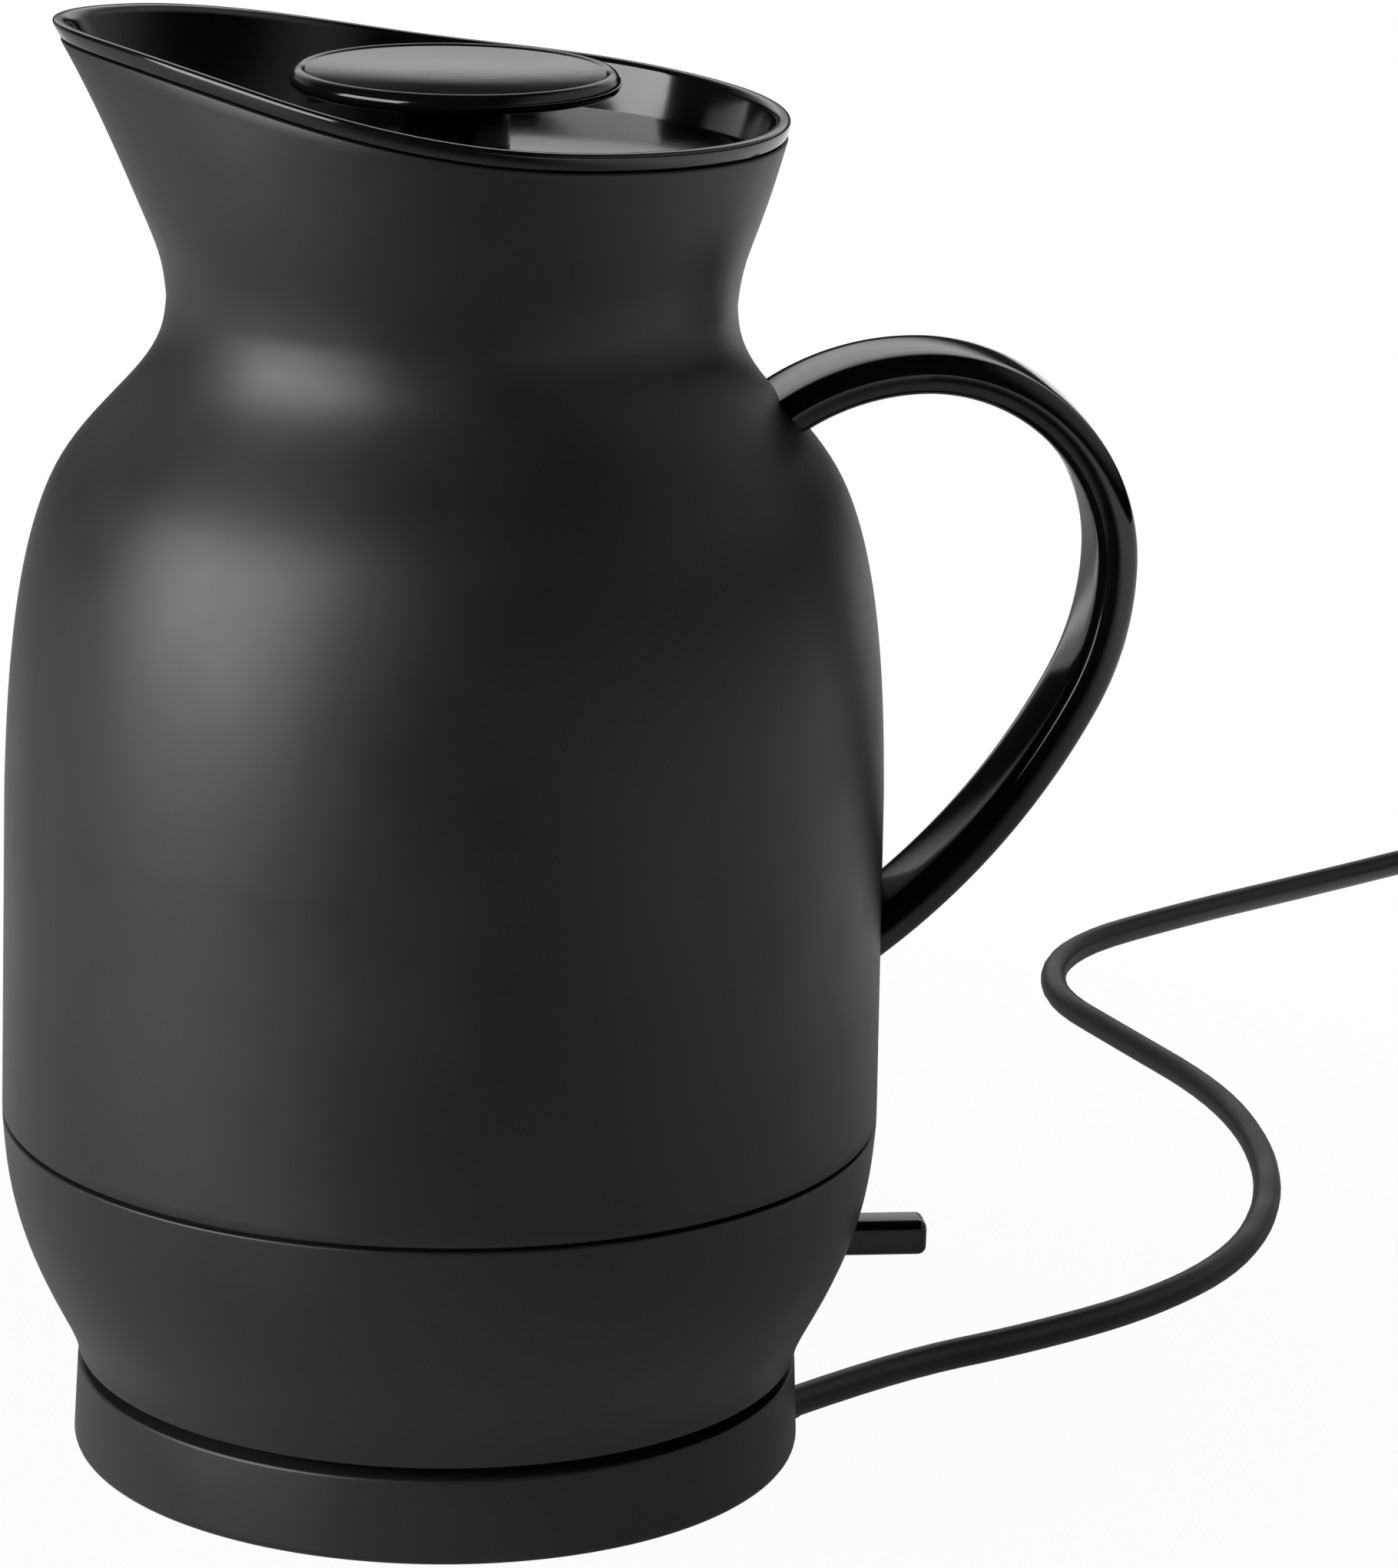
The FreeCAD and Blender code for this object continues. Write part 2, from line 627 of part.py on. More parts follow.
TIE_TURN = COIL_TURNS_PER_LAYER - COIL_CLIMB / 2


def cord_tie():
    """Flat band round the stacked turns."""
    middle = (coil_point(TIE_TURN) + coil_point(TIE_TURN + 1)) * 0.5
    half_width = CORD_RADIUS + TIE_CLEAR
    half_height = COIL_LAYER / 2 + CORD_RADIUS + TIE_CLEAR
    outer = Part.makeBox(TIE_WIDTH, 2 * (half_width + TIE_THICK), 2 * (half_height + TIE_THICK),
                         V(-TIE_WIDTH / 2, -half_width - TIE_THICK, -half_height - TIE_THICK))
    inner = Part.makeBox(TIE_WIDTH, 2 * half_width, 2 * half_height,
                         V(-TIE_WIDTH / 2, -half_width, -half_height))
    along = [e for e in outer.Edges if abs(e.tangentAt(e.FirstParameter).x) > 0.9]
    band = outer.makeFillet(half_width * 0.8, along).cut(inner)
    band.rotate(V(0, 0, 0), UP, COIL_ENTRY_DEG - 360 * TIE_TURN - 90)
    band.translate(middle)
    return band


PLUG_AXIS = coil_heading(COIL_TURNS)
PLUG_BACK = coil_point(COIL_TURNS) + PLUG_AXIS * COIL_TAIL


def plug_shape():
    """Flat moulded plug in its own frame: the cord enters at the origin, the pins leave along +X."""
    half = PLUG_BACK.z
    neck = [V(0, -PLUG_NECK_HALF, 0), V(PLUG_NECK_LENGTH, -PLUG_COLLAR_HALF, 0),
            V(PLUG_SHOULDER, -PLUG_WIDTH / 2, 0), V(PLUG_LENGTH, -PLUG_WIDTH / 2, 0)]
    outline = neck + [V(p.x, -p.y, 0) for p in reversed(neck)]
    face = Part.Face(Part.makePolygon(outline + outline[:1]))
    face.translate(V(0, 0, -half))
    body = face.extrude(V(0, 0, 2 * half))
    return body.makeFillet(PLUG_ROUND, edges_at(body, half) + edges_at(body, -half))


def plug_pins():
    """Two round pins of the plug."""
    half = PLUG_PIN_SPACING / 2
    return [Part.makeCylinder(PLUG_PIN_RADIUS, PLUG_PIN_LENGTH, V(PLUG_LENGTH, y, 0), V(1, 0, 0))
            for y in (-half, half)]


def place_plug(shape):
    """Move a plug piece from its own frame to the coil's end."""
    shape.rotate(V(0, 0, 0), UP, math.degrees(math.atan2(PLUG_AXIS.y, PLUG_AXIS.x)))
    shape.translate(PLUG_BACK)
    return shape


# Kettle
SHELL_BOTTOM_Z = SEAM_Z + SEAM_GAP / 2
HOUSING_TOP_Z = SEAM_Z - SEAM_GAP / 2
TOP_ROOM = RIM_TIP_Z + 6 * OVER
SPIGOT_RADIUS = BELLY_RADIUS - SHELL_WALL - CLEAR


def upper_shell(screws):
    """Painted steel jug wall, open at the seam and cut to the slanted rim."""
    inside = jug_solid(SHELL_BOTTOM_Z - OVER, TOP_ROOM + OVER, SHELL_WALL)
    shell = jug_solid(SHELL_BOTTOM_Z, TOP_ROOM, 0).cut(inside)
    shell = shell.cut(above_rim(LIP_HEIGHT + LIP_GAP))
    for solid in screws:
        shell = shell.cut(solid)
    return shell


def housing_profile(inset):
    """Outline of the lower housing from the foot to the seam, moved in by an inset."""
    rise = HOUSING_TOP_Z - FOOT_Z
    step = BELLY_RADIUS - FOOT_RADIUS
    points = [V(FOOT_RADIUS + step * out - inset, 0, FOOT_Z + rise * up) for up, out in HOUSING_SHAPE]
    curve = Part.BSplineCurve()
    curve.interpolate(points)
    return curve.toShape(), points


def lower_housing():
    """Lower skirt with a spigot into the jug wall and a slot for the switch lever."""
    outer, outer_points = housing_profile(0)
    inner, inner_points = housing_profile(HOUSING_WALL)
    top = Part.makeLine(outer_points[-1], inner_points[-1])
    bottom = Part.makeLine(outer_points[0], inner_points[0])
    skirt = Part.Face(Part.Wire(Part.sortEdges([outer, top, inner, bottom])[0])).revolve(V(0, 0, 0), UP, 360)
    spigot = ring(SPIGOT_RADIUS - SPIGOT_WALL, SPIGOT_RADIUS, HOUSING_TOP_Z - SPIGOT_ROOT,
                  HOUSING_TOP_Z + SPIGOT_HEIGHT)
    arm = BELLY_RADIUS - LEVER_PIVOT_X
    drop = arm * math.tan(math.radians(LEVER_TRAVEL_DEG))
    side = LEVER_WIDTH / 2 + 2 * CLEAR
    slot = block(LEVER_PIVOT_X + LEVER_SLOT_BACK, BELLY_RADIUS + OVER, -side, side,
                 LEVER_Z - LEVER_THICK / 2 - drop - 2 * CLEAR, LEVER_Z + LEVER_THICK / 2 + 2 * CLEAR)
    return skirt.fuse(spigot).cut(slot)


BOTTOM_Z = BASE_TOP_Z + CLEAR
BOTTOM_PLATE_Z = BOTTOM_Z + REST_RING_HEIGHT
BOTTOM_TOP_Z = BOTTOM_PLATE_Z + BOTTOM_THICK
CONNECTOR_INNER = SOCKET_RADIUS + 2 * CLEAR
CONNECTOR_OUTER = CONNECTOR_INNER + CONNECTOR_WALL
CONNECTOR_FLANGE = CONNECTOR_OUTER + CONNECTOR_LEDGE
COLLAR_TOP_Z = SOCKET_TOP_Z + 2 * CLEAR
CONNECTOR_PLATE_Z = COLLAR_TOP_Z + CLEAR
CONNECTOR_TOP_Z = CONNECTOR_PLATE_Z + CONNECTOR_THICK
CONTACT_SEAT_Z = CONNECTOR_PLATE_Z + CONTACT_SEAT


def bottom_screws():
    """Screws from below that hold the bottom cover to bosses of the housing."""
    tip_z = BOTTOM_TOP_Z + BOSS_HEIGHT - SCREW_END_ROOM
    return [screw(polar(BOTTOM_SCREW_RING, b, BOTTOM_PLATE_Z), polar(BOTTOM_SCREW_RING, b, tip_z))
            for b in BOTTOM_SCREW_BEARINGS]


def bottom_cover():
    """Underside of the kettle with its resting ring, a collar for the connector and bosses for screws."""
    cover = ring(0, FOOT_RADIUS - HOUSING_WALL - FIT, BOTTOM_PLATE_Z, BOTTOM_TOP_Z)
    cover = cover.fuse(ring(REST_RING_RADIUS - REST_RING_WALL, REST_RING_RADIUS, BOTTOM_Z, BOTTOM_TOP_Z))
    cover = cover.fuse(ring(0, CONNECTOR_OUTER + CLEAR + COLLAR_WALL, BOTTOM_PLATE_Z, COLLAR_TOP_Z))
    cover = cover.cut(ring(0, CONNECTOR_OUTER + CLEAR, BOTTOM_Z, COLLAR_TOP_Z + OVER))
    for bearing in BOTTOM_SCREW_BEARINGS:
        foot = polar(BOTTOM_SCREW_RING, bearing, BOTTOM_TOP_Z)
        boss = Part.makeCylinder(SCREW_RADIUS + BOSS_WALL, BOSS_HEIGHT, foot)
        cover = cover.fuse(boss)
    for solid in bottom_screws():
        cover = cover.cut(solid)
    return cover


def kettle_connector():
    """Round connector under the kettle that drops over the base's tower."""
    skirt = ring(CONNECTOR_INNER, CONNECTOR_OUTER, BOTTOM_Z + CONNECTOR_LIFT, CONNECTOR_TOP_Z)
    plate = ring(0, CONNECTOR_FLANGE, CONNECTOR_PLATE_Z, CONNECTOR_TOP_Z)
    solid = skirt.fuse(plate)
    return solid.cut(connector_pin()).cut(connector_ring())


def connector_pin():
    """Centre contact pin."""
    pin = ring(0, PIN_RADIUS, PIN_TIP_Z, CONTACT_SEAT_Z)
    return pin.makeFillet(PIN_ROUND, edges_at(pin, PIN_TIP_Z))


def connector_ring():
    """Round contact ring about the pin."""
    return ring(RING_RADIUS - RING_WALL / 2, RING_RADIUS + RING_WALL / 2, RING_TIP_Z, CONTACT_SEAT_Z)


CONTROL_Z = CONNECTOR_TOP_Z + CLEAR
CONTROL_TOP_Z = CONTROL_Z + CONTROL_HEIGHT
CONTROL_FRONT_X = LEVER_INNER_X - LEVER_BACK_GAP


def control_unit():
    """Switch and boil-dry control block above the connector, on posts from the bottom cover."""
    x0 = CONTROL_FRONT_X - CONTROL_LENGTH
    body = block(x0, CONTROL_FRONT_X, -CONTROL_WIDTH / 2, CONTROL_WIDTH / 2, CONTROL_Z, CONTROL_TOP_Z)
    upright = [e for e in body.Edges if abs(e.tangentAt(e.FirstParameter).z) > 0.9]
    body = body.makeFillet(CONTROL_ROUND, upright)
    post_y = CONTROL_WIDTH / 2 - CONTROL_POST_INSET
    post_height = CONTROL_TOP_Z - BOTTOM_TOP_Z
    for x in (x0 + CONTROL_POST_INSET, CONTROL_FRONT_X - CONTROL_POST_INSET):
        for y in (-post_y, post_y):
            body = body.fuse(Part.makeCylinder(CONTROL_POST_RADIUS, post_height, V(x, y, BOTTOM_TOP_Z)))
    tower = block(CONTROL_FRONT_X - CONTROL_TOWER_LENGTH, CONTROL_FRONT_X,
                  -CONTROL_TOWER_HALF, CONTROL_TOWER_HALF,
                  CONTROL_Z, CONTROL_TOP_Z + CONTROL_TOWER_HEIGHT)
    return body.fuse(tower)


def lever_bracket():
    """Two cheeks on the bottom cover that carry the lever's pivot pin."""
    half = CHEEK_WIDTH / 2
    near = LEVER_WIDTH / 2 + 2 * CLEAR
    far = near + CHEEK_THICK
    x0 = LEVER_PIVOT_X - half
    x1 = LEVER_PIVOT_X + half
    bracket = block(x0, x1, -far, far, BOTTOM_TOP_Z, LEVER_Z + half)
    room = block(x0, x1, -near, near, BOTTOM_TOP_Z + BRACKET_FLOOR, LEVER_Z + half)
    return bracket.cut(room).cut(pivot(PIVOT_PIN_RADIUS + PIVOT_CLEAR))


def pivot(radius):
    """Round bar along the lever's pivot, as long as the bracket is wide."""
    half = LEVER_WIDTH / 2 + 2 * CLEAR + CHEEK_THICK
    return Part.makeCylinder(radius, 2 * half, V(LEVER_PIVOT_X, -half, LEVER_Z), V(0, 1, 0))


def lever_pin():
    """Pivot pin across the lever."""
    return pivot(PIVOT_PIN_RADIUS)


def switch_lever():
    """Rocker bar that stands out under the handle."""
    bar = block(LEVER_INNER_X, LEVER_TIP_X, -LEVER_WIDTH / 2, LEVER_WIDTH / 2,
                LEVER_Z - LEVER_THICK / 2, LEVER_Z + LEVER_THICK / 2)
    outer_edges = [e for e in bar.Edges if e.CenterOfMass.x > LEVER_INNER_X + OVER]
    return bar.makeFillet(LEVER_EDGE, outer_edges).cut(lever_pin())


PLATE_RADIUS = outer_radius(PLATE_Z) - SHELL_WALL - SEAL_WIDTH - FIT
STEAM_AXIS = V(STEAM_TUBE_X, STEAM_TUBE_Y, 0)


def heating_plate():
    """Steel disc that closes the bottom of the jug."""
    hole = Part.makeCylinder(STEAM_TUBE_RADIUS + FIT, PLATE_THICK, STEAM_AXIS + UP * PLATE_Z)
    return ring(0, PLATE_RADIUS, PLATE_Z, PLATE_Z + PLATE_THICK).cut(hole)


def plate_seal():
    """Silicone ring that grips the plate's edge against the jug wall."""
    outer = PLATE_RADIUS + SEAL_WIDTH
    seal = ring(PLATE_RADIUS - SEAL_GRIP, outer, PLATE_Z - SEAL_LIP, PLATE_Z + PLATE_THICK + SEAL_LIP)
    return seal.cut(ring(0, PLATE_RADIUS, PLATE_Z, PLATE_Z + PLATE_THICK))


def plate_clamp():
    """Steel ring under the seal, resting on the housing's spigot."""
    return ring(PLATE_RADIUS - PLATE_CLAMP_REACH, SPIGOT_RADIUS - PLATE_CLAMP_EDGE,
                HOUSING_TOP_Z + SPIGOT_HEIGHT, PLATE_Z - SEAL_LIP)


def heating_element():
    """Tubular element curved under the plate, with two tails down to the control."""
    level = PLATE_Z - ELEMENT_TUBE
    circle = Part.Face(Part.Wire([Part.makeCircle(ELEMENT_TUBE, V(ELEMENT_RING, 0, level), V(0, 1, 0))]))
    circle.rotate(V(0, 0, 0), UP, ELEMENT_GAP_DEG / 2)
    loop = circle.revolve(V(0, 0, 0), UP, 360 - ELEMENT_GAP_DEG)
    tails = []
    for bearing in (ELEMENT_GAP_DEG / 2, -ELEMENT_GAP_DEG / 2):
        end = polar(ELEMENT_RING, bearing, level)
        tails.append(Part.makeSphere(ELEMENT_TUBE, end))
        foot = V(end.x - TAIL_LEAN, end.y * TAIL_GATHER, CONTROL_TOP_Z + TAIL_RISE)
        tails.append(rod(end, foot, TAIL_RADIUS))
    for tail in tails:
        loop = loop.fuse(tail)
    return loop


def steam_tube():
    """Upright tube that leads steam from the neck down to the control."""
    bottom = CONTROL_TOP_Z
    height = STEAM_TUBE_TOP_Z - bottom
    outer = Part.makeCylinder(STEAM_TUBE_RADIUS, height, STEAM_AXIS + UP * bottom)
    bore = Part.makeCylinder(STEAM_TUBE_RADIUS - STEAM_TUBE_WALL, height, STEAM_AXIS + UP * bottom)
    return outer.cut(bore)


HANDLE_TOTAL = HANDLE_ROOT_TURN + 90 + HANDLE_GRIP_TURN + HANDLE_TAIL_TURN


def handle_station(turn):
    """Middle, outward direction and width of the handle after a turn in degrees from its root."""
    angle = math.radians(90 + HANDLE_ROOT_TURN - turn)
    out = V(math.cos(angle), 0, math.sin(angle))
    crest = V(HANDLE_X, 0, HANDLE_Z)
    root = crest + UP * (HANDLE_CREST_R - HANDLE_ROOT_R)
    grip = crest - V(HANDLE_GRIP_R - HANDLE_CREST_R, 0, 0)
    bend = math.radians(-HANDLE_GRIP_TURN)
    tail = grip - V(math.cos(bend), 0, math.sin(bend)) * (HANDLE_TAIL_R - HANDLE_GRIP_R)
    past = turn - HANDLE_ROOT_TURN
    if past <= 0:
        share = turn / HANDLE_ROOT_TURN
        width = HANDLE_WIDTH_ROOT + (HANDLE_WIDTH_CREST - HANDLE_WIDTH_ROOT) * share
        return root + out * HANDLE_ROOT_R, out, width
    share = past / (HANDLE_TOTAL - HANDLE_ROOT_TURN)
    width = HANDLE_WIDTH_CREST + (HANDLE_WIDTH_TAIL - HANDLE_WIDTH_CREST) * share
    if past <= 90:
        return crest + out * HANDLE_CREST_R, out, width
    if past <= 90 + HANDLE_GRIP_TURN:
        return grip + out * HANDLE_GRIP_R, out, width
    return tail + out * HANDLE_TAIL_R, out, width


def handle_section(turn):
    """Rounded outline of the handle across its length."""
    centre, out, width = handle_station(turn)
    half = HANDLE_THICK / 2
    flat = width / 2 - half
    side = V(0, 1, 0)
    corner = [centre + side * flat + out * half, centre + side * flat - out * half,
              centre - side * flat - out * half, centre - side * flat + out * half]
    ends = [Part.Arc(corner[0], centre + side * (width / 2), corner[1]).toShape(),
            Part.makeLine(corner[1], corner[2]),
            Part.Arc(corner[2], centre - side * (width / 2), corner[3]).toShape(),
            Part.makeLine(corner[3], corner[0])]
    return Part.Wire(ends)


def handle(screws):
    """Ear-shaped grip, cut to the jug wall at both ends."""
    count = 19
    grip = Part.makeLoft([handle_section(HANDLE_TOTAL * i / count) for i in range(count + 1)], True, False)
    grip = grip.cut(jug_solid(SHELL_BOTTOM_Z, TOP_ROOM, -HANDLE_GAP))
    grip = max(grip.Solids, key=lambda solid: solid.Volume)
    for solid in screws:
        grip = grip.cut(solid)
    return grip


def handle_screw_line(turn, inward):
    """Head and tip of the screw that holds one end of the handle from inside the jug."""
    centre, out, width = handle_station(turn)
    along = V(out.z, 0, -out.x) * inward
    return centre + along * HANDLE_SCREW_HEAD, centre - along * HANDLE_SCREW_REACH


HANDLE_SCREW_LINES = (handle_screw_line(HANDLE_SCREW_TOP_TURN, -1),
                      handle_screw_line(HANDLE_TOTAL - HANDLE_SCREW_TAIL_TURN, 1))


def handle_screws():
    """Two screws from inside the jug into the handle's ends."""
    return [screw(head, tip) for head, tip in HANDLE_SCREW_LINES]


def handle_seals():
    """Silicone washers under the screw heads, pressed to the jug wall."""
    inside = jug_solid(SHELL_BOTTOM_Z, TOP_ROOM, SHELL_WALL + HANDLE_GAP)
    seals = []
    for head, tip in HANDLE_SCREW_LINES:
        along = (tip - head).normalize()
        start = head + along * SCREW_HEAD_HEIGHT
        washer = rod(start, tip, SCREW_HEAD_RADIUS + WASHER_EDGE).common(inside)
        seals.append(washer.cut(rod(head, tip, SCREW_RADIUS)))
    return [max(seal.Solids, key=lambda solid: solid.Volume) for seal in seals]


FUNNEL_OUTER = SHELL_WALL + FIT
FUNNEL_INNER = FUNNEL_OUTER + FUNNEL_WALL


def pour_funnel():
    """Glossy insert of the neck and spout, whose lip covers the edge of the jug wall."""
    lip = jug_solid(RIM_HEEL_Z - LIP_ROOM, TOP_ROOM, LIP_INSET)
    lip = lip.common(above_rim(LIP_HEIGHT))
    sleeve = jug_solid(FUNNEL_BOTTOM_Z, TOP_ROOM, FUNNEL_OUTER)
    solid = sleeve.fuse(lip).cut(above_rim(0))
    return solid.cut(jug_solid(FUNNEL_BOTTOM_Z - OVER, TOP_ROOM + OVER, FUNNEL_INNER))


def funnel_seal():
    """Silicone ring between the funnel's lower end and the jug wall."""
    bottom = FUNNEL_BOTTOM_Z - FUNNEL_SEAL_HEIGHT
    outer = jug_solid(bottom, FUNNEL_BOTTOM_Z, FUNNEL_OUTER, FUNNEL_SEAL_STEP)
    return outer.cut(jug_solid(bottom - OVER, FUNNEL_BOTTOM_Z + OVER, FUNNEL_INNER, FUNNEL_SEAL_STEP))


# Lid
LID_BOTTOM_Z = LID_EDGE_Z - LID_PLATE
LID_COVER_Z = LID_BOTTOM_Z - LID_COVER_DEPTH


def pour_notch(extra):
    """Block that opens the spout side of the lid for pouring."""
    return block(-LID_RADIUS - OVER, -POUR_NOTCH_X + extra, -POUR_NOTCH_HALF, POUR_NOTCH_HALF,
                 LID_COVER_Z - OVER, LID_EDGE_Z + LID_DOME)


def lid_screw():
    """Screw from below through cover, plate and stem into the knob."""
    return screw(V(0, 0, LID_COVER_Z), V(0, 0, KNOB_BOTTOM_Z + LID_SCREW_GRIP))


def lid_plate():
    """Domed plate that closes the neck, open on its spout side."""
    crown = V(0, 0, LID_EDGE_Z + LID_DOME)
    edge = V(LID_RADIUS, 0, LID_EDGE_Z)
    reach = LID_RADIUS / 2
    between = V(reach, 0, LID_EDGE_Z + LID_DOME * 0.75)
    low_edge = V(LID_RADIUS - LID_EDGE_DRAFT, 0, LID_BOTTOM_Z)
    low = V(0, 0, LID_BOTTOM_Z)
    edges = [Part.Arc(crown, between, edge).toShape(), Part.makeLine(edge, low_edge),
             Part.makeLine(low_edge, low), Part.makeLine(low, crown)]
    plate = Part.Face(Part.Wire(edges)).revolve(V(0, 0, 0), UP, 360)
    return plate.cut(pour_notch(0)).cut(lid_screw())


def lid_inner_cover():
    """Shallow dish under the plate."""
    dish = ring(0, LID_COVER_RADIUS, LID_COVER_Z, LID_BOTTOM_Z)
    dish = dish.cut(ring(SCREW_HEAD_RADIUS + LID_COVER_WALL, LID_COVER_RADIUS - LID_COVER_WALL,
                         LID_COVER_Z + LID_COVER_WALL, LID_BOTTOM_Z))
    return dish.cut(pour_notch(0)).cut(lid_screw())


def lid_gasket():
    """Soft ring round the cover, open at the pouring notch."""
    top = LID_BOTTOM_Z
    bottom = top - GASKET_HEIGHT
    outer = outer_radius(bottom) + nose(math.radians(PINCH_DEG), bottom) - FUNNEL_INNER - CLEAR - FIT
    return ring(LID_COVER_RADIUS + FIT, outer, bottom, top).cut(pour_notch(OVER))


def lid_stem():
    """Round post between plate and knob."""
    stem = ring(0, STEM_RADIUS, LID_EDGE_Z, KNOB_BOTTOM_Z)
    return stem.cut(lid_plate()).cut(lid_screw())


def lid_knob():
    """Round knob with a dished top and rounded edge."""
    top = KNOB_BOTTOM_Z + KNOB_HEIGHT
    middle_z = KNOB_BOTTOM_Z + KNOB_HEIGHT * 0.5
    rim_r = KNOB_RADIUS - KNOB_EDGE
    dish = V(0, 0, top - KNOB_DISH)
    dish_mid = V(rim_r / 2, 0, top - KNOB_DISH * 0.78)
    rim = V(rim_r, 0, top)
    under = V(rim_r - KNOB_UNDERCUT, 0, KNOB_BOTTOM_Z)
    edge = V(KNOB_RADIUS, 0, middle_z)
    foot = V(0, 0, KNOB_BOTTOM_Z)
    edges = [Part.Arc(dish, dish_mid, rim).toShape(), Part.Arc(rim, edge, under).toShape(),
             Part.makeLine(under, foot), Part.makeLine(foot, dish)]
    return Part.Face(Part.Wire(edges)).revolve(V(0, 0, 0), UP, 360).cut(lid_screw())


def main():
    """Build every piece and write it."""
    os.makedirs("parts", exist_ok=True)
    save("base_shell", base_shell())
    save("base_bottom_cover", base_bottom_cover())
    save("base_feet", group(foot_pads(0)))
    save("base_screws", group(base_screws()))
    save("base_socket", base_socket())
    save("base_contact_strips", group(contact_strips()))
    save("base_wires", group(base_wires()))
    save("cord_clamp", cord_clamp())
    save("cord_clamp_screws", group(clamp_screws()))
    save("cord_strain_relief", strain_relief(0))
    free, free_length = cord()
    save("cord", free)
    coil, coil_length = cord_coil()
    save("cord_coil", coil)
    print("whole cord", round(free_length + coil_length, 1))
    save("cord_tie", cord_tie())
    save("plug_body", place_plug(plug_shape()))
    save("plug_pins", place_plug(group(plug_pins())))
    screws = handle_screws()
    save("upper_shell", upper_shell(screws))
    save("lower_housing", lower_housing())
    save("bottom_cover", bottom_cover())
    save("bottom_screws", group(bottom_screws()))
    save("kettle_connector", kettle_connector())
    save("connector_pin", connector_pin())
    save("connector_ring", connector_ring())
    save("control_unit", control_unit())
    save("lever_bracket", lever_bracket())
    save("lever_pin", lever_pin())
    save("switch_lever", switch_lever())
    save("heating_plate", heating_plate())
    save("plate_seal", plate_seal())
    save("plate_clamp", plate_clamp())
    save("heating_element", heating_element())
    save("steam_tube", steam_tube())
    save("handle", handle(screws))
    save("handle_screws", group(screws))
    save("handle_seals", group(handle_seals()))
    save("pour_funnel", pour_funnel())
    save("funnel_seal", funnel_seal())
    save("lid_plate", lid_plate())
    save("lid_inner_cover", lid_inner_cover())
    save("lid_gasket", lid_gasket())
    save("lid_stem", lid_stem())
    save("lid_knob", lid_knob())
    save("lid_screw", lid_screw())


main()
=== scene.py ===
"""Looks of a cordless electric jug kettle on a round power base, in metres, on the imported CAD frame.

Origin: centre of the power base on the table, +Z up, handle towards +X, spout towards -X.
"""
import json
import logging
import math
from dataclasses import dataclass, field
from enum import Enum
from typing import Callable, Dict, List, Optional, Sequence, Tuple, Union

import bmesh
import bpy
import numpy as np
from mathutils import Matrix, Vector


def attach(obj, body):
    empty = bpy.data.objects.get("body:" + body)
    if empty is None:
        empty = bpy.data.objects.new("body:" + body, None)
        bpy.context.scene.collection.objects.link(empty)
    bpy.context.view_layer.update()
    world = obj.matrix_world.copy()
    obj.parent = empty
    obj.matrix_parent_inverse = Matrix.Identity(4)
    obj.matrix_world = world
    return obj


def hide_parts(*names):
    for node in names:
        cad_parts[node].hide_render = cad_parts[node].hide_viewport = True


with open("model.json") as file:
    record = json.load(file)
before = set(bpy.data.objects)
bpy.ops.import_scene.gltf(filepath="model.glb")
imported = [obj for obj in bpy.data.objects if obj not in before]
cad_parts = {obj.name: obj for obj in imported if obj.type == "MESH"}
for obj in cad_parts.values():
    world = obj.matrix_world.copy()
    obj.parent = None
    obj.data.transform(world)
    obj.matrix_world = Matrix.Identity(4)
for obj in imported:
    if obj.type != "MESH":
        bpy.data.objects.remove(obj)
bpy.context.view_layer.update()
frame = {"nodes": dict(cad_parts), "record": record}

MM = 0.001
SHARP_DEG = 38.0
WELD = 1e-7
AXIS_RADIUS = 0.0005
RANGE_INPUTS = ("From Min", "From Max", "To Min", "To Max")
LOG = logging.getLogger("kettle")

Pair = Tuple[float, float]
Point = Tuple[float, float, float]
Outline = List[Pair]
Number = Union[float, bpy.types.NodeSocket]
Ring = List[Point]


class Body(Enum):
    """Bodies of the frame that pieces ride on."""

    POWER_BASE = "power_base"
    COUPLER = "coupler"
    KETTLE = "kettle"
    LID = "lid"
    LEVER = "lever"


class Slot(Enum):
    """Material slots of the part's record."""

    JUG_PAINT = "jug_paint"
    MATTE_HOUSING = "matte_housing"
    GLOSS_BLACK = "gloss_black"
    INNER_PLASTIC = "inner_plastic"
    SOFT_RUBBER = "soft_rubber"
    STEEL = "steel"
    CONTACT_BRASS = "contact_brass"
    CORD_SHEATH = "cord_sheath"


class SmoothCurve:
    """Natural cubic curve through a table of (place, size) rows."""

    def __init__(self, rows: Sequence[Pair]) -> None:
        """Solve the curve's bends from rows in rising order of place."""
        self.places = np.array([row[0] for row in rows], float)
        self.sizes = np.array([row[1] for row in rows], float)
        steps = np.diff(self.places)
        count = len(rows)
        system = np.zeros((count, count))
        right = np.zeros(count)
        system[0, 0] = 1.0
        system[-1, -1] = 1.0
        for i in range(1, count - 1):
            system[i, i - 1] = steps[i - 1]
            system[i, i] = 2 * (steps[i - 1] + steps[i])
            system[i, i + 1] = steps[i]
            rise = (self.sizes[i + 1] - self.sizes[i]) / steps[i]
            right[i] = 6 * (rise - (self.sizes[i] - self.sizes[i - 1]) / steps[i - 1])
        self.bends = np.linalg.solve(system, right)

    def __call__(self, place: float) -> float:
        """Size at a place, which is held inside the table."""
        place = min(max(place, self.places[0]), self.places[-1])
        i = int(min(np.searchsorted(self.places, place, "right") - 1, len(self.places) - 2))
        step = self.places[i + 1] - self.places[i]
        a = (self.places[i + 1] - place) / step
        b = 1 - a
        bend = ((a ** 3 - a) * self.bends[i] + (b ** 3 - b) * self.bends[i + 1]) * step * step / 6
        return float(a * self.sizes[i] + b * self.sizes[i + 1] + bend)


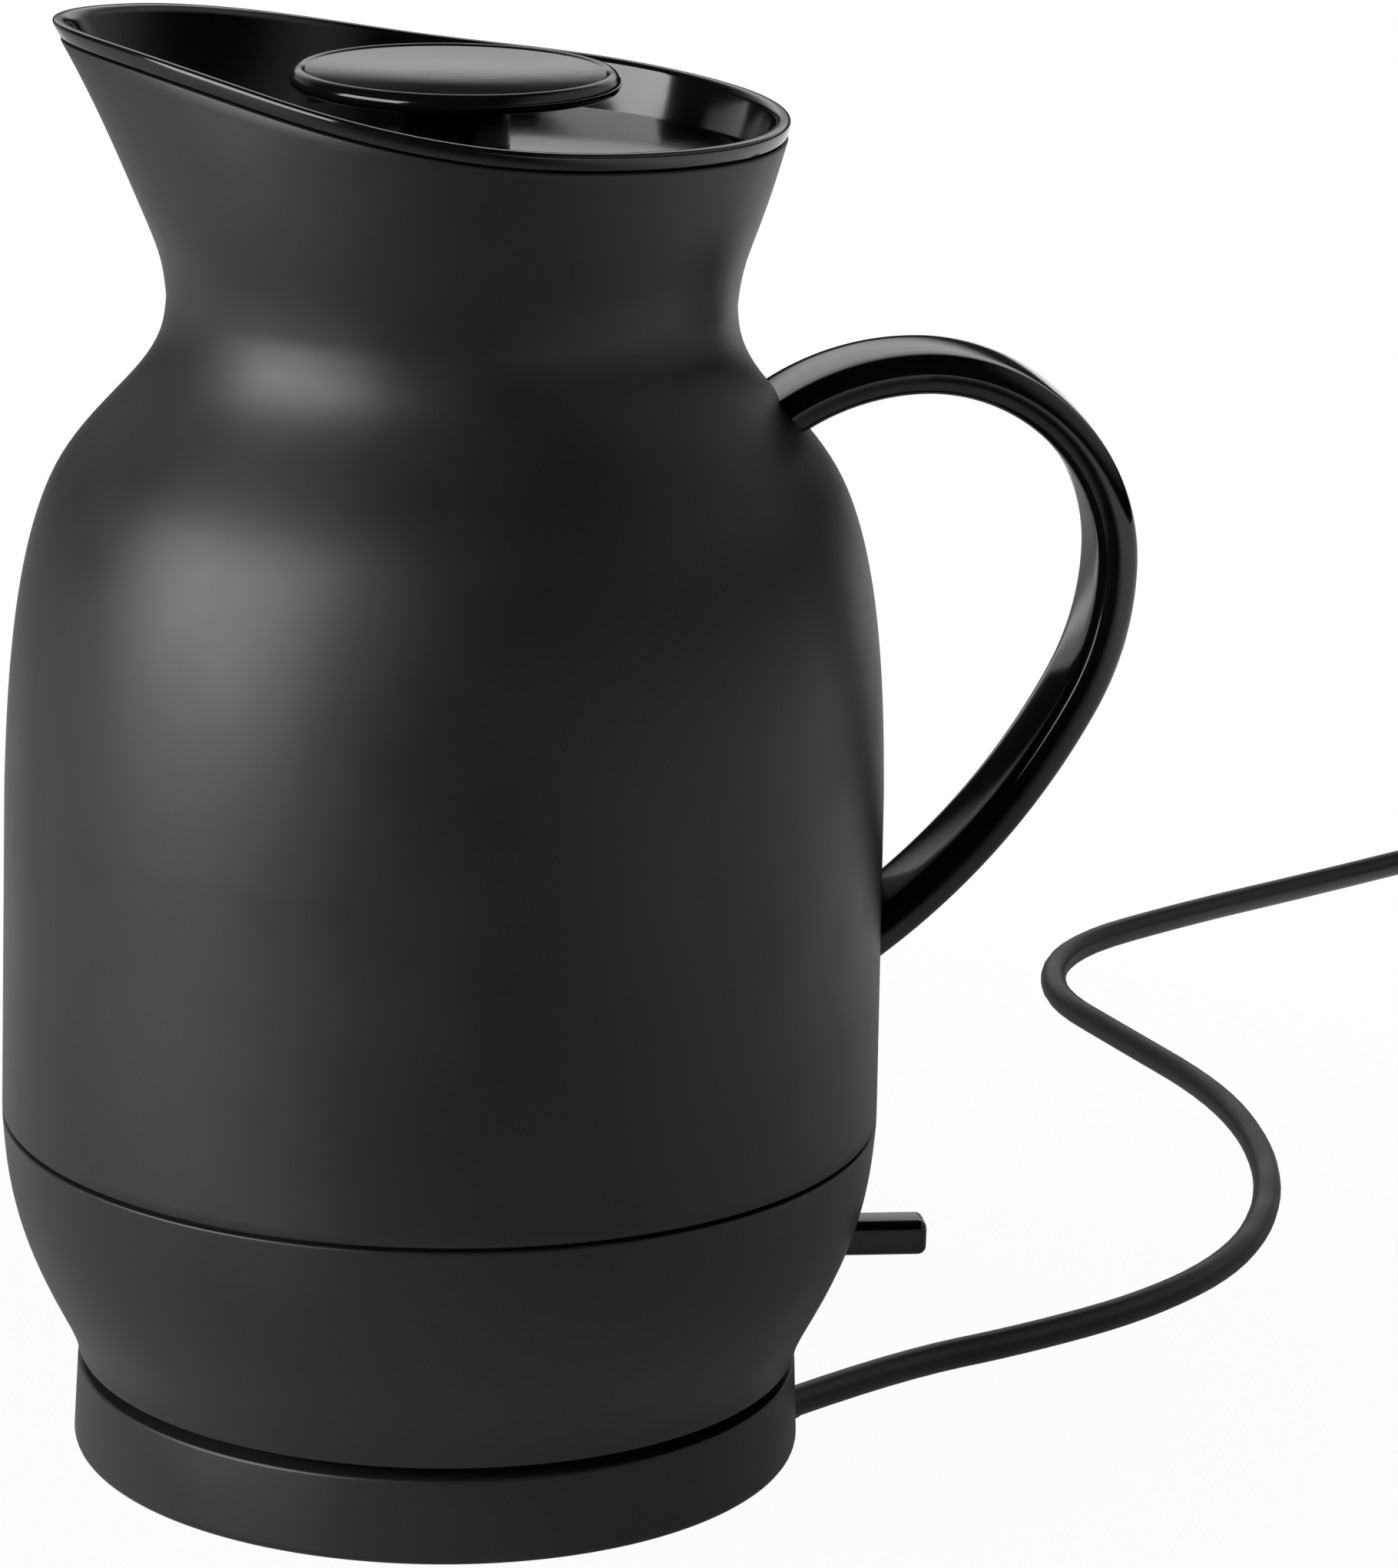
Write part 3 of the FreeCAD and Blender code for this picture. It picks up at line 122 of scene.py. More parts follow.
def bearings(count: int) -> List[float]:
    """Evenly spaced angles of a full turn, in radians."""
    return [2 * math.pi * i / count for i in range(count)]


@dataclass(frozen=True)
class JugShape:
    """Outline of the kettle, shared by its wall, funnel, housing and handle. Sizes in millimetres."""

    belly_radius: float = 75.0
    belly_top_radius: float = 74.4
    neck_radius: float = 47.4
    seam_z: float = 60.5
    shoulder_z: float = 118.0
    neck_z: float = 201.5
    rim_heel_z: float = 233.0
    rim_tip_z: float = 247.8
    even_z: float = 214.0
    turn_points: int = 216
    settling: int = 12
    flare_start: float = 4.0
    nose_reach: float = 7.2
    nose_pinch: float = 2.3
    nose_half_deg: float = 19.0
    pinch_deg: float = 47.0
    shoulder: SmoothCurve = field(default_factory=lambda: SmoothCurve((
        (0.0, 1.0), (0.14, 0.983), (0.29, 0.948), (0.43, 0.888), (0.575, 0.773), (0.65, 0.67),
        (0.72, 0.518), (0.79, 0.325), (0.86, 0.143), (0.935, 0.028), (1.0, 0.0))))
    flare: SmoothCurve = field(default_factory=lambda: SmoothCurve((
        (0.0, 0.0), (6.5, 1.0), (12.5, 2.9), (18.5, 4.9), (24.5, 6.65), (36.5, 9.75), (60.0, 15.5))))
    rim: SmoothCurve = field(default_factory=lambda: SmoothCurve((
        (-76.0, 1.03), (-66.8, 1.0), (-46.5, 0.824), (-28.4, 0.574), (0.0, 0.236), (29.0, 0.09),
        (56.0, 0.0), (80.0, 0.0))))

    def round_radius(self, z: float) -> float:
        """Radius of the round outline at a height, without the spout's nose."""
        if z <= self.shoulder_z:
            share = max((z - self.seam_z) / (self.shoulder_z - self.seam_z), 0.0)
            return self.belly_radius + (self.belly_top_radius - self.belly_radius) * share
        if z <= self.neck_z:
            share = (z - self.shoulder_z) / (self.neck_z - self.shoulder_z)
            return self.neck_radius + (self.belly_top_radius - self.neck_radius) * self.shoulder(share)
        return self.neck_radius + self.flare(z - self.neck_z)

    def nose(self, from_tip_deg: float, z: float) -> float:
        """How far the spout stands out of the round outline, by the angle from its tip."""
        lift = max(z - self.neck_z - self.flare_start, 0.0)
        lift /= self.rim_tip_z - self.neck_z - self.flare_start
        reach = self.nose_reach * math.exp(-(from_tip_deg / self.nose_half_deg) ** 2)
        pinch = self.nose_pinch * math.exp(-((from_tip_deg - self.pinch_deg) / self.nose_half_deg) ** 2)
        return (reach - pinch) * lift * lift

    def point(self, bearing: float, z: float, inset: float) -> Point:
        """Point of the outline at a bearing from the handle's side in radians, moved in by an inset."""
        from_tip = abs(math.degrees(math.atan2(math.sin(bearing - math.pi), math.cos(bearing - math.pi))))
        radius = self.round_radius(z) + self.nose(from_tip, z) - inset
        return (radius * math.cos(bearing), radius * math.sin(bearing), z)

    def rim_z(self, bearing: float, inset: float, drop: float) -> float:
        """Height of the slanted rim line at a bearing, lowered by a drop."""
        z = self.rim_heel_z
        for _ in range(self.settling):
            x = self.point(bearing, z, inset)[0]
            z = self.rim_heel_z + (self.rim_tip_z - self.rim_heel_z) * self.rim(x) - drop
        return z

    def rim_ring(self, inset: float, drop: float) -> Ring:
        """Ring along the rim at an inset, lowered by a drop."""
        return [self.point(a, self.rim_z(a, inset, drop), inset) for a in bearings(self.turn_points)]

    def face(self, inset: float, low: float, rows: Tuple[int, int], drop: float,
             trim: float = 0.0) -> List[Ring]:
        """Rings of one face of a wall that follows the outline up to the rim.

        Args:
            inset: Distance inwards from the outline.
            low: Height of the first ring.
            rows: Level rows, and rows that turn from level to the rim's slant.
            drop: How far the rim line is lowered.
            trim: How far below that line the face ends.

        Returns:
            The rings, from the lowest.
        """
        turns = bearings(self.turn_points)
        level, slanted = rows
        rise = self.even_z - low
        rings = [[self.point(a, low + rise * i / level, inset) for a in turns] for i in range(level + 1)]
        tops = [self.rim_z(a, inset, drop) - trim for a in turns]
        for i in range(1, slanted + 1):
            heights = [self.even_z + (top - self.even_z) * i / slanted for top in tops]
            rings.append([self.point(a, z, inset) for a, z in zip(turns, heights)])
        return rings


JUG = JugShape()


def round_ring(radius: float, z: float, count: int) -> Ring:
    """Circle of points about the kettle's axis, in millimetres."""
    return [(radius * math.cos(a), radius * math.sin(a), z) for a in bearings(count)]


def corner_outline(corners: Sequence[Point], steps: int = 5) -> Outline:
    """Outline of a turned section whose corners are rounded.

    Args:
        corners: Radius, height and rounding of each corner, in order.
        steps: Points in each rounding.

    Returns:
        Points of the closed outline as (radius, height).
    """
    outline: Outline = []
    count = len(corners)
    for i, (r, z, rounding) in enumerate(corners):
        here = Vector((r, z))
        if rounding <= 0:
            outline.append((r, z))
            continue
        back = (Vector(corners[i - 1][:2]) - here).normalized()
        ahead = (Vector(corners[(i + 1) % count][:2]) - here).normalized()
        for k in range(steps + 1):
            t = k / steps
            place = here + back * rounding * (1 - t) ** 2 + ahead * rounding * t ** 2
            outline.append((place.x, place.y))
    return outline


def arc_through(a: Pair, b: Pair, c: Pair, steps: int) -> Outline:
    """Points of the arc from a through b to c, both ends included."""
    (ax, ay), (bx, by), (cx, cy) = a, b, c
    d = 2 * (ax * (by - cy) + bx * (cy - ay) + cx * (ay - by))
    aa, bb, cc = (x * x + y * y for x, y in (a, b, c))
    ux = (aa * (by - cy) + bb * (cy - ay) + cc * (ay - by)) / d
    uy = (aa * (cx - bx) + bb * (ax - cx) + cc * (bx - ax)) / d
    radius = math.hypot(ax - ux, ay - uy)
    start = math.atan2(ay - uy, ax - ux)
    middle = (math.atan2(by - uy, bx - ux) - start) % (2 * math.pi)
    turn = (math.atan2(cy - uy, cx - ux) - start) % (2 * math.pi)
    if middle > turn:
        turn -= 2 * math.pi
    angles = [start + turn * k / steps for k in range(steps + 1)]
    return [(ux + radius * math.cos(angle), uy + radius * math.sin(angle)) for angle in angles]


class MeshMaker:
    """Makes smooth meshes from rings of points."""

    @staticmethod
    def skin(name: str, rings: Sequence[Ring], closed: bool = False, caps: bool = False,
             sharp_deg: float = SHARP_DEG,
             faces_of: Optional[Callable[[int], int]] = None) -> bpy.types.Object:
        """Skin a row of equal rings.

        Args:
            name: Name of the new piece.
            rings: Rings of points in millimetres, all of one length.
            closed: Whether the last ring joins the first.
            caps: Whether the first and last rings are filled.
            sharp_deg: Bends sharper than this stay crisp.
            faces_of: Gives the material index of the faces after a ring.

        Returns:
            The new object.
        """
        size = len(rings[0])
        points = [(x * MM, y * MM, z * MM) for ring in rings for x, y, z in ring]
        faces: List[Tuple[int, ...]] = []
        indices: List[int] = []
        count = len(rings)
        for j in range(count if closed else count - 1):
            low = j * size
            high = ((j + 1) % count) * size
            for i in range(size):
                k = (i + 1) % size
                faces.append((low + i, low + k, high + k, high + i))
                indices.append(faces_of(j) if faces_of else 0)
        if caps:
            faces.append(tuple(reversed(range(size))))
            faces.append(tuple(range((count - 1) * size, count * size)))
            indices += [0, 0]
        mesh = bpy.data.meshes.new(name)
        mesh.from_pydata(points, [], faces)
        piece = MeshMaker.place(name, mesh, sharp_deg)
        for polygon, index in zip(mesh.polygons, indices):
            polygon.material_index = index
        return piece

    @staticmethod
    def place(name: str, mesh: bpy.types.Mesh, sharp_deg: float) -> bpy.types.Object:
        """Link a mesh in metres as a piece with outward faces and smooth shading."""
        work = bmesh.new()
        work.from_mesh(mesh)
        bmesh.ops.remove_doubles(work, verts=work.verts, dist=WELD)
        bmesh.ops.recalc_face_normals(work, faces=work.faces)
        work.to_mesh(mesh)
        work.free()
        for polygon in mesh.polygons:
            polygon.use_smooth = True
        mesh.set_sharp_from_angle(angle=math.radians(sharp_deg))
        piece = bpy.data.objects.new(name, mesh)
        bpy.context.scene.collection.objects.link(piece)
        return piece

    @staticmethod
    def turned(name: str, outline: Sequence[Pair], count: int,
               sharp_deg: float = SHARP_DEG) -> bpy.types.Object:
        """Turn a closed outline of (radius, height) points about the kettle's axis."""
        rings = [round_ring(max(r, AXIS_RADIUS), z, count) for r, z in outline]
        return MeshMaker.skin(name, rings, closed=True, sharp_deg=sharp_deg)

    @staticmethod
    def block(name: str, low: Point, high: Point, rounding: float, steps: int = 5) -> bpy.types.Object:
        """Box between two corners with rounded edges, in millimetres."""
        work = bmesh.new()
        bmesh.ops.create_cube(work, size=1.0)
        middle = [(a + b) / 2 * MM for a, b in zip(low, high)]
        scale = [(b - a) * MM for a, b in zip(low, high)]
        for vertex in work.verts:
            vertex.co = Vector([m + c * s for m, c, s in zip(middle, vertex.co, scale)])
        if rounding > 0:
            bmesh.ops.bevel(work, geom=list(work.edges), offset=rounding * MM, segments=steps, profile=0.5,
                            affect="EDGES")
        mesh = bpy.data.meshes.new(name)
        work.to_mesh(mesh)
        work.free()
        return MeshMaker.place(name, mesh, SHARP_DEG)

    @staticmethod
    def carve(piece: bpy.types.Object, cutter: bpy.types.Object, sharp_deg: float = SHARP_DEG) -> None:
        """Cut one piece with another, then drop the cutter."""
        modifier = piece.modifiers.new("carve", "BOOLEAN")
        modifier.operation = "DIFFERENCE"
        modifier.solver = "EXACT"
        modifier.object = cutter
        graph = bpy.context.evaluated_depsgraph_get()
        mesh = bpy.data.meshes.new_from_object(piece.evaluated_get(graph))
        piece.modifiers.clear()
        piece.data = mesh
        for polygon in mesh.polygons:
            polygon.use_smooth = True
        mesh.set_sharp_from_angle(angle=math.radians(sharp_deg))
        bpy.data.objects.remove(cutter)


@dataclass(frozen=True)
class Finish:
    """A surface finish, with fine grain in its colour, gloss and relief."""

    name: str
    colour: Tuple[float, float, float]
    roughness: float
    colour_spread: float = 0.12
    gloss_spread: float = 0.04
    grain_mm: float = 0.5
    cloud_mm: float = 25.0
    relief: float = 0.05
    metal: float = 0.0
    specular: float = 0.5
    coat: float = 0.0
    coat_roughness: float = 0.05
    stretch: Point = (1.0, 1.0, 1.0)
    noise_range: Pair = (0.3, 0.7)
    grain_detail: float = 3.0
    cloud_detail: float = 4.0
    least_roughness: float = 0.02
    relief_depth: float = 0.2

    def build(self) -> bpy.types.Material:
        """Make the node material, once for each finish."""
        known = bpy.data.materials.get(self.name)
        if known:
            return known
        material = bpy.data.materials.new(self.name)
        material.use_nodes = True
        material.diffuse_color = (*self.colour, 1.0)
        nodes = material.node_tree.nodes
        links = material.node_tree.links
        shader = nodes["Principled BSDF"]
        shader.inputs["Metallic"].default_value = self.metal
        shader.inputs["Specular IOR Level"].default_value = self.specular
        shader.inputs["Coat Weight"].default_value = self.coat
        shader.inputs["Coat Roughness"].default_value = self.coat_roughness
        where = nodes.new("ShaderNodeTexCoord")
        mapping = nodes.new("ShaderNodeMapping")
        mapping.inputs["Scale"].default_value = self.stretch
        links.new(where.outputs["Object"], mapping.inputs["Vector"])
        grain = self.noise(nodes, links, mapping, 1 / (self.grain_mm * MM), self.grain_detail)
        cloud = self.noise(nodes, links, mapping, 1 / (self.cloud_mm * MM), self.cloud_detail)
        ramp = nodes.new("ShaderNodeValToRGB")
        for stop, place, sign in zip(ramp.color_ramp.elements, self.noise_range, (-1, 1)):
            stop.position = place
            stop.color = (*[c * (1 + sign * self.colour_spread) for c in self.colour], 1.0)
        links.new(cloud.outputs["Fac"], ramp.inputs["Fac"])
        links.new(ramp.outputs["Color"], shader.inputs["Base Color"])
        gloss = nodes.new("ShaderNodeMapRange")
        low = max(self.roughness - self.gloss_spread, self.least_roughness)
        ends = (*self.noise_range, low, self.roughness + self.gloss_spread)
        for name, number in zip(RANGE_INPUTS, ends):
            gloss.inputs[name].default_value = number
        links.new(cloud.outputs["Fac"], gloss.inputs["Value"])
        links.new(gloss.outputs["Result"], shader.inputs["Roughness"])
        bump = nodes.new("ShaderNodeBump")
        bump.inputs["Strength"].default_value = self.relief
        bump.inputs["Distance"].default_value = self.grain_mm * MM * self.relief_depth
        links.new(grain.outputs["Fac"], bump.inputs["Height"])
        links.new(bump.outputs["Normal"], shader.inputs["Normal"])
        return material

    @staticmethod
    def noise(nodes: bpy.types.Nodes, links: bpy.types.NodeLinks, mapping: bpy.types.Node,
              scale: float, detail: float) -> bpy.types.Node:
        """Noise in the piece's own metres, with a number of grains in a metre and layers of finer grain."""
        noise = nodes.new("ShaderNodeTexNoise")
        noise.inputs["Scale"].default_value = scale
        noise.inputs["Detail"].default_value = detail
        links.new(mapping.outputs["Vector"], noise.inputs["Vector"])
        return noise


SOFT_PAINT = Finish("soft_black_paint", (0.010, 0.010, 0.0103), 0.46, grain_mm=0.35, relief=0.14,
                    specular=0.45)
HOUSING_MATTE = Finish("matte_black_moulding", (0.010, 0.010, 0.0103), 0.42, grain_mm=0.35, relief=0.10,
                       specular=0.45)
GLOSS = Finish("polished_black", (0.004, 0.004, 0.0042), 0.10, gloss_spread=0.025, grain_mm=6.0,
               relief=0.012, cloud_mm=18.0)
INNER_PLASTIC = Finish("grained_dark_plastic", (0.05, 0.05, 0.052), 0.5, grain_mm=0.6, relief=0.2)
RUBBER = Finish("soft_dark_silicone", (0.04, 0.04, 0.04), 0.65, grain_mm=0.4, relief=0.15, specular=0.3)
STEEL = Finish("brushed_stainless", (0.62, 0.62, 0.63), 0.28, colour_spread=0.05, gloss_spread=0.08,
               grain_mm=0.3, relief=0.06, metal=1.0, stretch=(1.0, 1.0, 14.0))
BRASS = Finish("satin_brass", (0.75, 0.58, 0.30), 0.3, gloss_spread=0.06, metal=1.0)
SHEATH = Finish("black_flex_sheath", (0.012, 0.012, 0.0125), 0.42, grain_mm=0.5, relief=0.08, cloud_mm=12.0)
WEBBING = Finish("woven_black_strap", (0.016, 0.016, 0.017), 0.75, grain_mm=0.7, relief=0.6, specular=0.2)

SLOT_FINISH: Dict[Slot, Finish] = {
    Slot.JUG_PAINT: SOFT_PAINT,
    Slot.MATTE_HOUSING: HOUSING_MATTE,
    Slot.GLOSS_BLACK: GLOSS,
    Slot.INNER_PLASTIC: INNER_PLASTIC,
    Slot.SOFT_RUBBER: RUBBER,
    Slot.STEEL: STEEL,
    Slot.CONTACT_BRASS: BRASS,
    Slot.CORD_SHEATH: SHEATH,
}


def dress(piece: bpy.types.Object, body: Body, slot: Slot, replaced: Sequence[str],
          finishes: Optional[Sequence[Finish]] = None) -> bpy.types.Object:
    """Give a new piece its finish, its body and the CAD nodes that it stands for.

    Args:
        piece: The new piece.
        body: Body that it rides on.
        slot: Record slot of its finish.
        replaced: CAD nodes that it stands for.
        finishes: Finishes by material index, where it has more than the slot's own.

    Returns:
        The same piece.
    """
    for finish in finishes or (SLOT_FINISH[slot],):
        piece.data.materials.append(finish.build())
    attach(piece, body.value)
    if replaced:
        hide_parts(*replaced)
    LOG.info("%s rides on %s", piece.name, body.value)
    return piece


def figure(tree: bpy.types.NodeTree, operation: str, first: Number, second: Number) -> bpy.types.NodeSocket:
    """Work out a number from two others, each a socket or a constant."""
    node = tree.nodes.new("ShaderNodeMath")
    node.operation = operation
    for socket, value in zip(node.inputs, (first, second)):
        if isinstance(value, float):
            socket.default_value = value
        else:
            tree.links.new(value, socket)
    return node.outputs[0]


def fade(tree: bpy.types.NodeTree, value: bpy.types.NodeSocket, ends: Pair,
         shares: Pair = (0.0, 1.0)) -> bpy.types.NodeSocket:
    """Run smoothly from one share to another between two ends of a value."""
    node = tree.nodes.new("ShaderNodeMapRange")
    node.interpolation_type = "SMOOTHSTEP"
    for name, number in zip(RANGE_INPUTS, (*ends, *shares)):
        node.inputs[name].default_value = number
    tree.links.new(value, node.inputs["Value"])
    return node.outputs["Result"]


def seen_directly(tree: bpy.types.NodeTree, mirrored: bpy.types.NodeSocket) -> bpy.types.NodeSocket:
    """One for rays from the eye, a share of it by gloss or glass, and zero for light on matte surfaces."""
    path = tree.nodes.new("ShaderNodeLightPath").outputs
    shiny = figure(tree, "MAXIMUM", path["Is Glossy Ray"], path["Is Transmission Ray"])
    return figure(tree, "MAXIMUM", path["Is Camera Ray"], figure(tree, "MULTIPLY", shiny, mirrored))


@dataclass
class Studio:
    """Camera, floor and lights. Angles in degrees, places in metres.

    A share says how white the floor or the sky is in reflections. A pair of ends says where it fades,
    by place on the floor and by direction in the sky.
    """

    place: Point = (-0.09178, -1.04902, 0.41451)
    yaw: float = 7.341
    pitch: float = 15.708
    roll: float = 1.470
    lens: float = 148.0
    sensor: float = 36.0
    clip: Pair = (0.01, 50.0)
    floor_half: float = 4.0
    floor_grey: float = 0.42
    floor_roughness: float = 0.9
    shadow_ends: Pair = (0.1, 0.35)
    shadow_share: float = 0.97
    # Painted shadow: share of white left on the floor strip behind the kettle, in reflections.
    shadow_strip_share: float = 0.12
    left_share: float = 0.35
    right_share: float = 1.0
    side_share: float = 0.5
    near_share: float = 0.25
    crown_share: float = 0.35
    front_share: float = 0.12
    room: float = 0.012
    # Middle line across the floor and fade ends of that painted shadow strip.
    shadow_strip_x: float = 0.04
    shadow_strip_ends: Pair = (0.09, 0.2)
    floor_behind: Pair = (-0.05, 0.3)
    floor_left: Pair = (-0.4, -0.05)
    floor_right: Pair = (0.1, 0.45)
    floor_near: Pair = (0.18, 0.4)
    floor_front: Pair = (-0.15, -0.4)
    sky_behind: Pair = (0.5, 0.9)
    sky_above: Pair = (0.1, 0.22)
    sky_left: Pair = (-0.5, -0.1)
    sky_crown: Pair = (0.35, 0.6)
    sky_side: Pair = (0.35, 0.8)
    sky_high: Pair = (0.04, 0.34)
    lamp_place: Point = (-0.95, -0.38, 0.48)
    lamp_target: Point = (0.0, 0.0, 0.10)
    lamp_size: Pair = (0.95, 0.9)
    lamp_power: float = 21.0

    def camera(self) -> bpy.types.Object:
        """Set the camera at the photograph's viewing angle.

        Returns:
            The camera.
        """
        yaw, pitch, roll = (math.radians(a) for a in (self.yaw, self.pitch, self.roll))
        ahead = Vector((math.sin(yaw) * math.cos(pitch), math.cos(yaw) * math.cos(pitch), -math.sin(pitch)))
        right = Vector((math.cos(yaw), -math.sin(yaw), 0.0))
        up = right.cross(ahead)
        side = right * math.cos(roll) + up * math.sin(roll)
        top = up * math.cos(roll) - right * math.sin(roll)
        lens = bpy.data.cameras.new("view")
        lens.lens = self.lens
        lens.sensor_width = self.sensor
        lens.sensor_height = self.sensor
        lens.sensor_fit = "VERTICAL"
        lens.clip_start, lens.clip_end = self.clip
        camera = bpy.data.objects.new("view", lens)
        turn = Matrix((side, top, -ahead)).transposed().to_4x4()
        camera.matrix_world = Matrix.Translation(self.place) @ turn
        bpy.context.scene.collection.objects.link(camera)
        bpy.context.scene.camera = camera
        return camera

    def floor(self) -> bpy.types.Object:
        """Lay the pale floor, which reads white to the eye and keeps the shadow, and which has a painted
        shadow strip behind the kettle in reflections.

        Returns:
            The floor.
        """
        half = self.floor_half
        mesh = bpy.data.meshes.new("floor")
        corners = [(-half, -half, 0), (half, -half, 0), (half, half, 0), (-half, half, 0)]
        mesh.from_pydata(corners, [], [(0, 1, 2, 3)])
        floor = bpy.data.objects.new("floor", mesh)
        bpy.context.scene.collection.objects.link(floor)
        material = bpy.data.materials.new("pale_floor")
        material.use_nodes = True
        tree = material.node_tree
        nodes = tree.nodes
        links = tree.links
        shader = nodes["Principled BSDF"]
        shader.inputs["Roughness"].default_value = self.floor_roughness
        shader.inputs["Specular IOR Level"].default_value = 0.0
        glow = nodes.new("ShaderNodeEmission")
        glow.inputs["Color"].default_value = (1.0, 1.0, 1.0, 1.0)
        glow.inputs["Strength"].default_value = 1.0
        mix = nodes.new("ShaderNodeMixShader")
        where = nodes.new("ShaderNodeTexCoord")
        distance = nodes.new("ShaderNodeVectorMath")
        distance.operation = "LENGTH"
        links.new(where.outputs["Object"], distance.inputs[0])
        share = nodes.new("ShaderNodeMapRange")
        for name, number in zip(RANGE_INPUTS, (*self.shadow_ends, self.shadow_share, 1.0)):
            share.inputs[name].default_value = number
        links.new(distance.outputs["Value"], share.inputs["Value"])
        axes = nodes.new("ShaderNodeSeparateXYZ")
        links.new(where.outputs["Object"], axes.inputs["Vector"])
        x, y = axes.outputs["X"], axes.outputs["Y"]
        # Painted shadow: in reflections the floor strip straight behind the kettle is darkened, standing
        # for the kettle's shadow there.
        aside = figure(tree, "ABSOLUTE", figure(tree, "SUBTRACT", x, self.shadow_strip_x), 0.0)
        behind = fade(tree, y, self.floor_behind)
        clear = fade(tree, aside, self.shadow_strip_ends, (self.shadow_strip_share, 1.0))
        left = fade(tree, x, self.floor_left, (self.left_share, 1.0))
        right = fade(tree, x, self.floor_right, (0.0, self.right_share))
        near = fade(tree, distance.outputs["Value"], self.floor_near, (self.near_share, 0.0))
        backdrop = figure(tree, "MULTIPLY", figure(tree, "MULTIPLY", behind, clear), left)
        mirrored = figure(tree, "MAXIMUM", backdrop, figure(tree, "MAXIMUM", right, near))
        white = figure(tree, "MULTIPLY", seen_directly(tree, mirrored), share.outputs["Result"])
        links.new(white, mix.inputs["Fac"])
        glossy = nodes.new("ShaderNodeLightPath").outputs["Is Glossy Ray"]
        front = fade(tree, y, self.floor_front, (0.0, 1.0 - self.front_share))
        dimmed = figure(tree, "SUBTRACT", 1.0, figure(tree, "MULTIPLY", glossy, front))
        links.new(figure(tree, "MULTIPLY", dimmed, self.floor_grey), shader.inputs["Base Color"])
        links.new(shader.outputs["BSDF"], mix.inputs[1])
        links.new(glow.outputs["Emission"], mix.inputs[2])
        links.new(mix.outputs["Shader"], nodes["Material Output"].inputs["Surface"])
        mesh.materials.append(material)
        return floor

    def surroundings(self) -> None:
        """White to the eye, and as a light a white backdrop behind the kettle in a dim room."""
        world = bpy.data.worlds.new("white_room")
        world.use_nodes = True
        tree = world.node_tree
        nodes = tree.nodes
        links = tree.links
        background = nodes["Background"]
        background.inputs["Color"].default_value = (1.0, 1.0, 1.0, 1.0)
        where = nodes.new("ShaderNodeTexCoord")
        axes = nodes.new("ShaderNodeSeparateXYZ")
        links.new(where.outputs["Generated"], axes.inputs["Vector"])
        x, y, z = (axes.outputs[axis] for axis in "XYZ")
        behind = fade(tree, y, self.sky_behind)
        above = fade(tree, z, self.sky_above)
        left = fade(tree, x, self.sky_left, (self.left_share, 1.0))
        crown = fade(tree, z, self.sky_crown, (1.0, self.crown_share))
        level = figure(tree, "MULTIPLY", above, crown)
        backdrop = figure(tree, "MULTIPLY", figure(tree, "MULTIPLY", behind, level), left)
        side = fade(tree, x, self.sky_side, (0.0, self.side_share))
        high = fade(tree, z, self.sky_high)
        mirrored = figure(tree, "MAXIMUM", backdrop, figure(tree, "MULTIPLY", side, high))
        strength = figure(tree, "MAXIMUM", seen_directly(tree, mirrored), self.room)
        links.new(strength, background.inputs["Strength"])
        bpy.context.scene.world = world

    def lamp(self) -> None:
        """Hang the soft box at the left."""
        light = bpy.data.lights.new("key_box", "AREA")
        light.shape = "RECTANGLE"
        light.size, light.size_y = self.lamp_size
        light.energy = self.lamp_power
        lamp = bpy.data.objects.new("key_box", light)
        lamp.location = self.lamp_place
        aim = Vector(self.lamp_target) - Vector(self.lamp_place)
        lamp.rotation_euler = aim.to_track_quat("-Z", "Y").to_euler()
        bpy.context.scene.collection.objects.link(lamp)

    def build(self) -> None:
        """Set camera, floor, surroundings and lamp."""
        self.camera()
        self.floor()
        self.surroundings()
        self.lamp()
        bpy.context.scene.view_settings.view_transform = "Standard"


